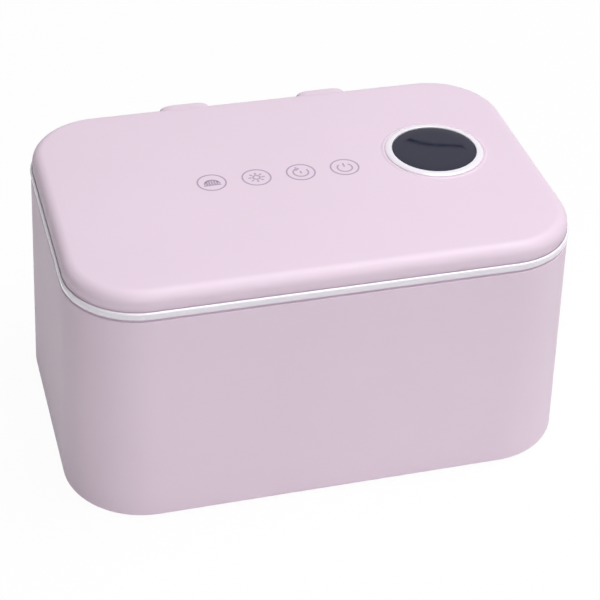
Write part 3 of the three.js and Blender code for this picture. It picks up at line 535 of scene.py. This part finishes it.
RING_FOOT, CREST_WIDE, CREST_HIGH, CREST_LEAD = 0.6, 1.15, 1.1, 2.2
LIP_WIDE, GROOVE_DEEP, GROOVE_IN, RING_IN = 1.42, 1.0, 4.4, 11.8
RING_SEAT_IN, RING_SEAT_HIGH = 3.2, 1.1
GROOVE_LOW = RING_TOP - GROOVE_DEEP
KNUCKLE_RADIUS, KNUCKLE_WIDE, NECK_FORWARD, NECK_HALF = 5, 16, 3.2, 3.4
PIN_BORE = 2.15


def ring_profile():
    """The ring's section: a quarter round at its foot, an upright face, a crest that is a quarter ellipse,
    the lip, the groove that takes the lid's skirt, the land under the seal, and a rebate over the rim of
    the tub."""
    lip = LIP_WIDE - RING_PROUD
    foot = [(RING_FOOT * (1 - math.sin(t)), RING_LOW + RING_FOOT * (1 - math.cos(t)))
            for t in np.linspace(0, math.pi / 2, 6)]
    crest = [(-RING_PROUD + CREST_WIDE * (1 - math.cos(t)), RING_TOP - CREST_HIGH + CREST_HIGH * math.sin(t))
             for t in np.linspace(0, math.pi / 2, 13)]
    groove = [(lip - 0.15, RING_TOP), (lip, RING_TOP - 0.15), (lip, GROOVE_LOW + 0.1),
              (lip + 0.1, GROOVE_LOW), (GROOVE_IN - 0.2, GROOVE_LOW), (GROOVE_IN, GROOVE_LOW + 0.2),
              (GROOVE_IN, RING_TOP - 0.3)]
    land = [(GROOVE_IN + 0.3, RING_TOP), (RING_IN - 0.4, RING_TOP), (RING_IN, RING_TOP - 0.4)]
    rebate = RING_LOW + RING_SEAT_HIGH
    under = [(RING_IN, rebate + 0.4), (RING_IN - 0.4, rebate), (RING_SEAT_IN + 0.4, rebate),
             (RING_SEAT_IN, rebate - 0.4), (RING_SEAT_IN, RING_LOW)]
    return foot + [(-RING_PROUD, RING_TOP - CREST_LEAD)] + crest + groove + land + under


def knuckle(side_sign):
    """A barrel round the hinge axis, on an arm from the ring: both have soft ends."""
    x = side_sign * HINGE_X
    turn = np.linspace(-np.pi / 2, np.pi / 2, 25)
    nose = np.stack([HINGE_Y + KNUCKLE_RADIUS * np.cos(turn), HINGE_Z + KNUCKLE_RADIUS * np.sin(turn)], -1)
    root, neck = REAR - 1, HINGE_Y - NECK_FORWARD
    arm = [(root, RING_TOP - 0.4), (root, RING_LOW + 0.4)]
    waist = [(neck - 1, RING_LOW + 0.1), (neck, HINGE_Z - NECK_HALF)]
    crest = [(neck, HINGE_Z + NECK_HALF), (neck - 1, RING_TOP)]
    outline = np.array(arm + waist + nose.tolist() + crest)
    return extruded(outline, x - KNUCKLE_WIDE / 2, x + KNUCKLE_WIDE / 2, "yzx", 0.6)


def hinge_bore(side_sign):
    """The round hole for a hinge pin, longer than its knuckle."""
    x, reach = side_sign * HINGE_X, KNUCKLE_WIDE / 2 + 2
    return extruded(circle(PIN_BORE, HINGE_Y, HINGE_Z, 32), x - reach, x + reach, "yzx")


piece("white_frame", [round_plan(ring_profile(), True)], "housing", "gloss_white",
      joined=[knuckle(-1), knuckle(1)], cuts=[hinge_bore(-1), hinge_bore(1)], nodes=["trim_ring"])


# Steel tub

TUB_FACE, TUB_ROUND, TUB_FLAT_IN = TUB_INSET + TUB_WALL, 8, 22
RIM_OUT, RIM_ROUND, RIM_END = 3.5, 1.2, 10.6
TUB_VENT, VENT_SLOTS = 66, 8


def tub_surface():
    """The tub's two skins as one open profile, from the floor's top up the inside, over the turned-out rim
    and down the outside, with a quarter round at the floor. The two floor loops are filled flat."""
    low_round = TUB_FLOOR + TUB_ROUND
    rim = [(RIM_OUT, RING_LOW), (RIM_OUT, RING_LOW + TUB_WALL), (RIM_END, RING_LOW + TUB_WALL)]
    rim += [(RIM_END + RIM_ROUND * math.sin(t), RING_LOW + TUB_WALL - RIM_ROUND + RIM_ROUND * math.cos(t))
            for t in np.linspace(0.2, math.pi / 2, 6)]
    inner = [(TUB_FACE, RING_LOW - 9), (TUB_FACE, low_round + 1)]
    inner += [(TUB_FACE + TUB_ROUND * (1 - math.cos(t)), low_round - TUB_ROUND * math.sin(t))
              for t in np.linspace(0.1, math.pi / 2, 10)]
    outer_round = TUB_ROUND + TUB_WALL
    outer = [(TUB_INSET + outer_round * (1 - math.cos(t)), low_round - outer_round * math.sin(t))
             for t in np.linspace(0, math.pi / 2, 10)]
    inside = [(TUB_FLAT_IN, TUB_FLOOR)] + inner[::-1] + rim[::-1]
    outside = [(RIM_END, RING_LOW), (TUB_INSET, RING_LOW - 1)] + outer + [(TUB_FLAT_IN, TUB_FLOOR - TUB_WALL)]
    return round_plan(inside + outside, False)


def vent_cuts(low, high, field):
    """Slots side by side in a square field over the fan: each is half as wide as their pitch, with round
    ends."""
    pitch = field / VENT_SLOTS
    middle = (VENT_SLOTS - 1) / 2
    outlines = [soft_box(pitch / 2, field, pitch / 4 - 0.05, FAN_X + (i - middle) * pitch, MIDDLE_Y, 5)
                for i in range(VENT_SLOTS)]
    return [extruded(outline, low, high) for outline in outlines]


piece("steel_tub", [tub_surface()], "housing", "tub_steel",
      cuts=[*vent_cuts(TUB_FLOOR - 3, TUB_FLOOR + 2, TUB_VENT), *rear_slots(REAR - 14, REAR - 10)],
      nodes=["inner_liner"])


# Wire rack

RACK_INSET, RACK_LOW, WIRE, WIRE_PITCH, WELD = 19.3, 46.3, 1.5, 22, 0.6
LONG_WIRE_SHARES = (-0.55, 0, 0.55)
SIDE_LEG_SHARES, END_LEG_SHARES = (-0.72, 0, 0.72), (-0.5, 0.5)


def rack_surfaces():
    """A loop that follows the plan, straight cross wires whose ends reach the loop, long wires under them,
    and legs; each is a round section carried along its line."""
    level, section = RACK_LOW + WIRE, circle(WIRE, 0, 0, 12)
    made = [swept(plan_loops([(RACK_INSET, level)])[0], section, (0, 0, 1), True)]
    half_x, half_y, arc = WIDE / 2 - RACK_INSET, DEEP / 2 - RACK_INSET, CORNER - RACK_INSET
    count = int(2 * half_x // WIRE_PITCH)
    for i in range(count):
        x = (i - (count - 1) / 2) * 2 * half_x / count
        past = max(0.0, abs(x) - (half_x - arc))
        reach = half_y - arc + math.sqrt(arc * arc - past * past)
        line = [(x, MIDDLE_Y + y, level) for y in np.linspace(-reach, reach, 3)]
        made.append(swept(line, section, (0, 0, 1)))
    for share in LONG_WIRE_SHARES:
        y, under = MIDDLE_Y + share * half_y, level - 2 * WIRE + WELD
        line = [(x, y, under) for x in np.linspace(-half_x + 1, half_x - 1, 3)]
        made.append(swept(line, section, (0, 0, 1)))
    spots = [(share * (half_x - arc), s * half_y) for share in SIDE_LEG_SHARES for s in (-1, 1)]
    spots += [(s * half_x, share * (half_y - arc)) for share in END_LEG_SHARES for s in (-1, 1)]
    low, lead = TUB_FLOOR + SEAT, 0.6
    leg = [(0.0, low), (WIRE - lead, low), (WIRE, low + lead), (WIRE, level)]
    made += [turned(leg, x, MIDDLE_Y + y, False, 12) for x, y in spots]
    return made


piece("chrome_rack", rack_surfaces(), "rack", "rack_chrome", nodes=["wire_rack"])


# Base plate and feet

PLATE_LOW, PLATE_FLAT_IN, BASE_VENT = PLATE_TOP - 2.5, 12, 65.6
HEAD_HOLE, HEAD_DEEP = 3.7, 1.2
FOOT_RADIUS, FOOT_DEEP = 10, 3.5
foot_spots = [(sx * 0.375 * WIDE, MIDDLE_Y + sy * 0.34 * DEEP) for sx, sy in CORNERS]


def base_surface():
    """The base plate inside the foot of the wall: a flat slab with a small cone round its lower edge."""
    edge, low = SHELL_WALL + SEAT - draft_at(PLATE_TOP), PLATE_LOW
    return round_plan([(PLATE_FLAT_IN, low), (edge + 1.3, low), (edge + 0.5, low + 0.2), (edge, low + 0.8),
                       (edge, PLATE_TOP - 0.2), (edge + 0.2, PLATE_TOP), (PLATE_FLAT_IN, PLATE_TOP)], False)


def round_hole(radius, low, high, x, y, steps):
    """An upright cylinder that cuts a round hole."""
    return turned([(0, low), (radius, low), (radius, high), (0, high)], x, y, False, steps)


base_spots = [(sx * BOSS_X, MIDDLE_Y + sy * BOSS_Y) for sx, sy in CORNERS]
base_holes = [round_hole(HEAD_HOLE, PLATE_LOW - 1, PLATE_LOW + HEAD_DEEP, x, y, 32) for x, y in base_spots]
foot_holes = [round_hole(FOOT_RADIUS + SEAT, PLATE_LOW - 1, FOOT_DEEP + SEAT, x, y, 64)
              for x, y in foot_spots]
piece("base_cover", [base_surface()], "housing", "white_plastic",
      cuts=[*vent_cuts(PLATE_LOW - 1, PLATE_TOP + 1.5, BASE_VENT), *foot_holes, *base_holes],
      nodes=["base_plate"])

# A foot's section swells from its flat sole to its full radius
pad = [(0, 0), (7.6, 0), (8.6, 0.15), (9.4, 0.6), (9.9, 1.5), (FOOT_RADIUS, 2.2), (FOOT_RADIUS, FOOT_DEEP),
       (0, FOOT_DEEP)]
for number, (x, y) in enumerate(foot_spots, 1):
    piece(f"rubber_foot_{number}", [turned(pad, x, y, False, 64)], "housing", "foot_rubber",
          nodes=[f"foot_{number}"])


# Lid with its hinge lugs

LID_FLAT_IN = 26
LUG_WIDE, LUG_BARREL, LUG_CROWN, LUG_FORWARD, LUG_RISE = 33, 5.4, 8.0, 1.5, 1.9
LUG_DRAW, LUG_RUN = 2.9, 9
GLASS_ROOM = GLASS_RADIUS + SEAT
BEZEL_SLEEVE = GLASS_ROOM + 2


def shoulder(inset, top, radius, steps=18):
    """A lid's shoulder: a quarter circle from the upright side to the flat top."""
    turn = np.linspace(0, math.pi / 2, steps + 1)
    return [(inset + radius * (1 - math.cos(t)), top - radius * (1 - math.sin(t))) for t in turn]


def lid_profile():
    """The lid's section: its ceiling, the inner shoulder, the skirt that hangs into the ring's groove, the
    outer shoulder and the flat top."""
    ceiling, low, inner = LID_TOP - LID_WALL, GROOVE_LOW + 0.4, LID_INSET + LID_WALL
    inside = shoulder(inner, ceiling, LID_SHOULDER - LID_WALL)[::-1]
    skirt = [(inner, low + 0.4), (inner - 0.3, low), (LID_INSET + 0.5, low), (LID_INSET + 0.15, low + 0.15),
             (LID_INSET, low + 0.5)]
    return ([(LID_FLAT_IN, ceiling), (20, ceiling)] + inside + skirt
            + shoulder(LID_INSET, LID_TOP, LID_SHOULDER) + [(20, LID_TOP), (LID_FLAT_IN, LID_TOP)])


def lug_outline():
    """The lug seen from its end, in y and z: the barrel round the hinge, the crown over it, and the flat
    tongue that runs forward into the lid's shoulder."""
    crown_y, crown_z = HINGE_Y - LUG_FORWARD, HINGE_Z + LUG_RISE
    root = REAR - 3.5
    barrel = [(HINGE_Y + LUG_BARREL * math.cos(t), HINGE_Z + LUG_BARREL * math.sin(t))
              for t in np.radians(np.linspace(140, 250, 14))]
    round_back = [(crown_y + LUG_CROWN * math.cos(t), crown_z + LUG_CROWN * math.sin(t))
                  for t in np.radians(np.linspace(-82, 90, 33))]
    return [(root, LID_LOW), *barrel, *round_back, (root, crown_z + LUG_CROWN)]


def lug(side_sign):
    """A hinge lug: its outline across its width, drawn in towards both ends by a long quarter ellipse."""
    x = side_sign * HINGE_X
    return extruded(lug_outline(), x - LUG_WIDE / 2, x + LUG_WIDE / 2, "yzx", LUG_DRAW, LUG_RUN, 12)


def lug_room(side_sign):
    """The room round a fixed knuckle and its arm."""
    x, free = side_sign * HINGE_X, KNUCKLE_RADIUS + SEAT
    front, below = HINGE_Y - 20, HINGE_Z - 20
    slot = [(front, below), (HINGE_Y + free, below)]
    slot += [(HINGE_Y + free * math.cos(t), HINGE_Z + free * math.sin(t))
             for t in np.linspace(0, math.pi * 0.82, 20)]
    slot += [(front, RING_TOP + SEAT)]
    half = KNUCKLE_WIDE / 2 + SEAT
    return extruded(slot, x - half, x + half, "yzx")


window_hole = round_hole(BEZEL_SLEEVE + SEAT, LID_TOP - 6, LID_TOP + 2, DISPLAY_X, DISPLAY_Y, ROUND_STEPS)
piece("lid_shell", [round_plan(lid_profile(), False)], "lid", "pink_shell",
      cuts=[window_hole], nodes=["lid_cover"])
piece("hinge_lugs", [lug(-1), lug(1)], "lid", "pink_shell", cuts=[lug_room(-1), lug_room(1)])


# Display

BEZEL_RISE, BEZEL_OUT, BEZEL_LEDGE = 1.6, 32.2, 1.8
COLLAR_LINE, COLLAR_WIDE, COLLAR_RISE = 0.35, 2.4, 0.4
GLASS_LOW, GLASS_HIGH = LID_TOP - 1.5, LID_TOP + 1.0


def bezel_profile():
    """The bezel's section: a sleeve down through the lid, a foot on the lid, a quarter ellipse that rises
    from the foot to a high inner lip round the glass, and a ledge under the glass."""
    rise, crest, top = BEZEL_RISE - 0.25, GLASS_ROOM + 0.9, LID_TOP + BEZEL_RISE
    ledge = GLASS_ROOM - BEZEL_LEDGE
    swell = [(crest + (BEZEL_OUT - crest) * math.cos(t), LID_TOP + 0.25 + rise * math.sin(t))
             for t in np.linspace(0, math.pi / 2, 15)]
    return [(ledge, LID_TOP - 3), (BEZEL_SLEEVE - 0.2, LID_TOP - 3), (BEZEL_SLEEVE, LID_TOP - 2.7),
            (BEZEL_SLEEVE, LID_TOP + 0.02), (BEZEL_OUT - 0.2, LID_TOP + 0.02), (BEZEL_OUT, LID_TOP + 0.1),
            *swell, (GLASS_ROOM + 0.4, top), (GLASS_ROOM + 0.1, top - 0.15), (GLASS_ROOM, top - 0.5),
            (GLASS_ROOM, LID_TOP - 0.3), (GLASS_ROOM, LID_TOP - BEZEL_LEDGE), (ledge, LID_TOP - BEZEL_LEDGE)]


def collar_profile():
    """A low swell of the lid round the bezel, parted from it by a fine line: it is highest by the line,
    falls a little outwards, and then falls to the lid at its rim."""
    inner, outer = BEZEL_OUT + COLLAR_LINE, BEZEL_OUT + COLLAR_WIDE
    return [(inner, LID_TOP - 0.05), (outer, LID_TOP - 0.05), (outer - 0.1, LID_TOP + 0.06),
            (outer - 0.6, LID_TOP + 0.28), (inner + 0.6, LID_TOP + COLLAR_RISE),
            (inner + 0.15, LID_TOP + 0.36), (inner, LID_TOP + 0.24)]


def glass_profile():
    """A flat round pane whose upper rim falls away over two short cones."""
    return [(0, GLASS_LOW), (GLASS_RADIUS - 0.3, GLASS_LOW), (GLASS_RADIUS, GLASS_LOW + 0.3),
            (GLASS_RADIUS, GLASS_HIGH - 0.3), (GLASS_RADIUS - 0.2, GLASS_HIGH - 0.05),
            (GLASS_RADIUS - 0.6, GLASS_HIGH), (GLASS_RADIUS - 7, GLASS_HIGH), (0, GLASS_HIGH)]


piece("display_ring", [turned(bezel_profile(), DISPLAY_X, DISPLAY_Y)], "lid", "gloss_white",
      nodes=["display_bezel"], angle=50)
piece("display_collar", [turned(collar_profile(), DISPLAY_X, DISPLAY_Y)], "lid", "pink_shell", angle=50)
piece("display_window", [turned(glass_profile(), DISPLAY_X, DISPLAY_Y, False)], "lid", "smoked_glass",
      nodes=["display_glass"])


# Printed keys: flat ink ribbons on the lid's top, drawn in millimetres from the middle of each key

INK_HIGH, INK_LOW = 0.06, LID_TOP + 0.01
STROKE = 1.1


def ribbon(line, wide, closed=False):
    """A flat strip of ink of even width along a line on the lid."""
    line = np.array(line, float)
    path = np.c_[line, np.full(len(line), INK_LOW + INK_HIGH / 2)]
    half = wide / 2
    section = [(-half, -INK_HIGH / 2), (half, -INK_HIGH / 2), (half, INK_HIGH / 2), (-half, INK_HIGH / 2)]
    return swept(path, section, (0, 0, 1), closed)


def arc(radius, start, stop, x=0.0, y=0.0, steps=32):
    """Points on a circle about x, y, from one turn to another in degrees."""
    turn = np.radians(np.linspace(start, stop, steps))
    return np.stack([x + radius * np.cos(turn), y + radius * np.sin(turn)], -1)


def heat_symbol(x, y):
    """A dome over a line, filled with short upright bars that end under the dome."""
    dome, pitch, bar = 4.9, 1.65, 1.25
    made = [ribbon(arc(dome, 0, 180, x, y - 2.0), STROKE)]
    made.append(ribbon([(x - 5.6, y - 3.0), (x + 5.6, y - 3.0)], STROKE))
    for shift in (-2 * pitch, -pitch, 0, pitch, 2 * pitch):
        reach = math.sqrt(dome * dome - shift * shift) - 0.2
        made.append(ribbon([(x + shift, y - 2.6 + (reach + 0.6) * t) for t in (0, 0.5, 1)], bar))
    return made


def lamp_symbol(x, y):
    """A small lamp circle with eight rays round it."""
    made = [ribbon(arc(2.2, 0, 354, x, y), STROKE, True)]
    for step in range(8):
        turn = math.radians(45 * step)
        ray = [(x + r * math.cos(turn), y + r * math.sin(turn)) for r in (3.3, 4.3, 5.3)]
        made.append(ribbon(ray, STROKE))
    return made


def cycle_symbol(x, y):
    """A ring that is open at the upper right, with an arrowhead near its upper end and a bar inside."""
    head = [(x - 2.6, y + 6.2), (x - 0.4, y + 4.2), (x - 2.9, y + 2.4)]
    bar = [(x, y + 1.4), (x, y), (x, y - 1.4)]
    return [ribbon(arc(4.9, 112, 390, x, y), STROKE), ribbon(head, STROKE), ribbon(bar, STROKE)]


def power_symbol(x, y):
    """A ring that is open at the rear, with an upright bar in its gap."""
    bar = [(x, y + 0.4), (x, y + 2.6), (x, y + 4.8)]
    return [ribbon(arc(4.8, 128, 412, x, y - 0.6), STROKE), ribbon(bar, STROKE)]


for number, symbol in enumerate((heat_symbol, lamp_symbol, cycle_symbol, power_symbol)):
    x = KEY_FIRST + KEY_PITCH * number
    ring = ribbon(arc(KEY_RING - STROKE / 2, 0, 357, x, KEY_Y, 120), STROKE, True)
    piece(f"key_print_{number + 1}", [ring, *symbol(x, KEY_Y)], "lid", "pink_shell", material=INK)


# Underside of the lid

LAMP_X, LAMP_Y = 0.22 * WIDE, MIDDLE_Y - 0.26 * DEEP
LAMP_LONG, LAMP_DEEP = 112, 8
PANEL_LOW, PANEL_INSET, PANEL_THICK = LID_LOW + SEAT, 4.1, 2.2
MIRROR_INSET, MIRROR_THICK = 14.8, 0.6
SEAL_OUT, SEAL_IN, SEAL_LOW, SEAL_TOP = 5.5, 9.5, RING_TOP + SEAT, PANEL_LOW + 1.0
PANEL_BORE, MIRROR_BORE = 1.45, 2.9
screw_spots = [(sx * 0.41 * WIDE, MIDDLE_Y + sy * 0.33 * DEEP) for sx, sy in CORNERS]


def flat_panel(inset, low, high, edge):
    """A thin plate that follows the plan, with soft edges."""
    return round_plan([(inset + 12, low), (inset + edge, low), (inset, low + edge), (inset, high - edge),
                       (inset + edge, high), (inset + 12, high)], False)


def lamp_slots(low, high):
    """The two long openings for the lamps."""
    return [extruded(soft_box(LAMP_LONG, LAMP_DEEP, 1.0, s * LAMP_X, LAMP_Y), low, high) for s in (-1, 1)]


def screw_holes(radius, low, high):
    """Round holes at the four screws of the lid."""
    return [round_hole(radius, low, high, x, y, 24) for x, y in screw_spots]


seal_in, seal_out, groove_top = SEAL_IN + SEAT, SEAL_OUT - SEAT, SEAL_TOP + SEAT
seal_groove = round_plan([(seal_out, PANEL_LOW - 2), (seal_out, groove_top), (seal_in, groove_top),
                          (seal_in, PANEL_LOW - 2)], True)
below, above = PANEL_LOW - 4, PANEL_LOW + 6
lining_cuts = [*lamp_slots(below, above), *screw_holes(PANEL_BORE, below, above), seal_groove]
piece("lid_lining", [flat_panel(PANEL_INSET, PANEL_LOW, PANEL_LOW + PANEL_THICK, 0.3)], "lid",
      "white_plastic", cuts=lining_cuts, nodes=["lid_inner_panel"])

# The seal is flat in its groove and nearly round where it meets the ring
seal_round = [(SEAL_OUT, SEAL_LOW + 0.9), (SEAL_OUT, SEAL_TOP), (SEAL_IN, SEAL_TOP),
              (SEAL_IN, SEAL_LOW + 0.9), (SEAL_IN - 0.2, SEAL_LOW + 0.3), (SEAL_IN - 0.9, SEAL_LOW + 0.05),
              ((SEAL_OUT + SEAL_IN) / 2, SEAL_LOW), (SEAL_OUT + 0.9, SEAL_LOW + 0.05),
              (SEAL_OUT + 0.2, SEAL_LOW + 0.3)]
piece("lid_seal", [round_plan(seal_round, True)], "lid", "gasket_silicone", nodes=["lid_gasket"], angle=60)

mirror_high = PANEL_LOW - SEAT
below, above = PANEL_LOW - 3, PANEL_LOW + 1
mirror_cuts = [*lamp_slots(below, above), *screw_holes(MIRROR_BORE, below, above)]
piece("lid_mirror", [flat_panel(MIRROR_INSET, mirror_high - MIRROR_THICK, mirror_high, 0.1)], "lid",
      "tub_steel", cuts=mirror_cuts, nodes=["lid_reflector"])


# The frame's own nodes that stay get the finish of their slot

slot_of = {entry["node"]: entry["material_slot"] for entry in frame["record"]["subparts"]}
for node_name, thing in frame["nodes"].items():
    thing.data.materials.clear()
    thing.data.materials.append(FINISHES[slot_of[node_name]])


# Stage: lengths in millimetres from the object's middle

BACKDROP_RAYS = ("Is Camera Ray", "Is Glossy Ray", "Is Transmission Ray")
GROUND_COLOUR, GROUND_SHOWN = (0.9, 0.9, 0.9, 1), 0.96
GROUND_FRONT, GROUND_BEND, BEND_RADIUS, BACKDROP_HIGH, GROUND_HALF = -4000.0, 2600.0, 900.0, 4000.0, 5000.0
STREAK_STEPS, STREAK_Y = 33, 3300.0
STREAK_START, STREAK_RUN = (1251, 2239), (234, 73)
STREAK_WAVE, STREAK_PHASE, STREAK_HALF, STREAK_TAPER = 6, 0.12, 5.5, 2
AMBIENT = 0.07


def backdrop_rays(tree):
    """1 for the rays that show the backdrop itself: straight, in gloss or through glass. 0 for its light."""
    path = tree.nodes.new("ShaderNodeLightPath")
    shown = path.outputs[BACKDROP_RAYS[0]]
    for ray in BACKDROP_RAYS[1:]:
        either = tree.nodes.new("ShaderNodeMath")
        either.operation = "MAXIMUM"
        tree.links.new(shown, either.inputs[0])
        tree.links.new(path.outputs[ray], either.inputs[1])
        shown = either.outputs[0]
    return shown


def pale(name, colour, share):
    """A pale ground that keeps its shadows: the rays that show it see it mixed with a share of white."""
    material = bpy.data.materials.new(name)
    material.use_nodes = True
    tree = material.node_tree
    tree.nodes.clear()
    out = tree.nodes.new("ShaderNodeOutputMaterial")
    matt = tree.nodes.new("ShaderNodeBsdfDiffuse")
    matt.inputs["Color"].default_value = colour
    glow = tree.nodes.new("ShaderNodeEmission")
    glow.inputs["Color"].default_value = (1, 1, 1, 1)
    weigh = tree.nodes.new("ShaderNodeMath")
    weigh.operation = "MULTIPLY"
    weigh.inputs[1].default_value = share
    mix = tree.nodes.new("ShaderNodeMixShader")
    tree.links.new(backdrop_rays(tree), weigh.inputs[0])
    tree.links.new(weigh.outputs[0], mix.inputs[0])
    tree.links.new(matt.outputs[0], mix.inputs[1])
    tree.links.new(glow.outputs[0], mix.inputs[2])
    tree.links.new(mix.outputs[0], out.inputs["Surface"])
    return material


def ground():
    """The floor and the backdrop as one sheet: flat, then a quarter circle, then upright."""
    turn = np.linspace(0, np.pi / 2, 17)
    bend = np.stack([GROUND_BEND + BEND_RADIUS * np.sin(turn), BEND_RADIUS - BEND_RADIUS * np.cos(turn)], -1)
    line = np.concatenate([[(GROUND_FRONT, 0.0)], bend, [(GROUND_BEND + BEND_RADIUS, BACKDROP_HIGH)]])
    across = np.array([-GROUND_HALF, GROUND_HALF])
    points = np.stack([np.repeat(across, len(line)), np.tile(line[:, 0], 2), np.tile(line[:, 1], 2)], -1)
    sheet = raw("ground", [(points, grid_faces(2, len(line)))])
    smooth(sheet, 60)
    sheet.data.materials.append(pale("pale_ground", GROUND_COLOUR, GROUND_SHOWN))


def dark_streak():
    """A narrow dark band before the backdrop, out of every view: a straight line with a shallow wave and a
    width that falls evenly. The display window mirrors it as the fine dark line that crosses it."""
    along = np.linspace(0, 1, STREAK_STEPS)
    wave = STREAK_WAVE * np.sin(2 * np.pi * (along - STREAK_PHASE))
    x, middle = STREAK_START[0] + STREAK_RUN[0] * along, STREAK_START[1] + STREAK_RUN[1] * along + wave
    y, half = np.full(STREAK_STEPS, STREAK_Y), STREAK_HALF - STREAK_TAPER * along
    points = np.stack([np.stack([x, y, middle - half], -1), np.stack([x, y, middle + half], -1)])
    band = raw("dark_streak", [(points.reshape(-1, 3), grid_faces(2, STREAK_STEPS))])
    band.data.materials.append(moulded("streak_black", (0.02, 0.02, 0.02, 1), 0.8))


def studio():
    """The world: white where it is seen, and a weak even light on the object."""
    world = bpy.data.worlds.new("studio")
    bpy.context.scene.world = world
    world.use_nodes = True
    tree = world.node_tree
    light = tree.nodes["Background"]
    light.inputs["Color"].default_value = (1.0, 1.0, 1.0, 1)
    strength = tree.nodes.new("ShaderNodeMapRange")
    strength.inputs["To Min"].default_value, strength.inputs["To Max"].default_value = AMBIENT, 1.0
    tree.links.new(backdrop_rays(tree), strength.inputs["Value"])
    tree.links.new(strength.outputs["Result"], light.inputs["Strength"])


def placed(name, data, right, up, back, place):
    """A lamp or a camera at a place in metres, with its own axes to the right, up and back."""
    thing = bpy.data.objects.new(name, data)
    thing.matrix_world = Matrix([*np.stack([right, up, back, place], 1).tolist(), [0, 0, 0, 1]])
    bpy.context.scene.collection.objects.link(thing)
    return thing


def panel_light(name, place, target, size, power):
    """A rectangular lamp in metres that faces a target, its long edges level."""
    lamp = bpy.data.lights.new(name, "AREA")
    lamp.shape = "RECTANGLE"
    lamp.size, lamp.size_y = size
    lamp.energy = power
    back = np.array(place) - np.array(target)
    back /= np.linalg.norm(back)
    right = np.cross((0, 0, 1), back)
    right /= np.linalg.norm(right)
    placed(name, lamp, right, np.cross(back, right), back, place)


def camera():
    """The photograph's camera: its place, turn and focal length, fitted to the outline. The lengths are in
    pixels and millimetres and the angles in radians. offset is the object's middle in the camera's axes."""
    focal, picture_wide, yaw, dip, roll = 1800.15, 600, 0.28507, 0.62964, 0.0371
    offset = np.array([-7.814, 56.726, 1239.541])
    ahead = np.array([math.sin(yaw) * math.cos(dip), math.cos(yaw) * math.cos(dip), -math.sin(dip)])
    level = np.array([math.cos(yaw), -math.sin(yaw), 0])
    upright = np.cross(level, ahead)
    right = math.cos(roll) * level + math.sin(roll) * upright
    up = -math.sin(roll) * level + math.cos(roll) * upright
    place = (-np.stack([right, -up, ahead]).T @ offset + (0, MIDDLE_Y, SHELL_LOW)) * MM
    lens = bpy.data.cameras.new("view")
    lens.sensor_width = 36
    lens.lens = focal / picture_wide * lens.sensor_width
    lens.clip_start, lens.clip_end = 0.01, 50
    bpy.context.scene.camera = placed("view", lens, right, up, -ahead, place)


ground()
dark_streak()
studio()
panel_light("key", (-0.2, -1.95, 1.5), (0, 0, 0.1), (1.8, 1.5), 19.5)
panel_light("top", (0.75, -0.2, 2.2), (0, 0, 0.1), (1.6, 1.6), 46)
camera()
bpy.context.scene.view_settings.view_transform = "Standard"
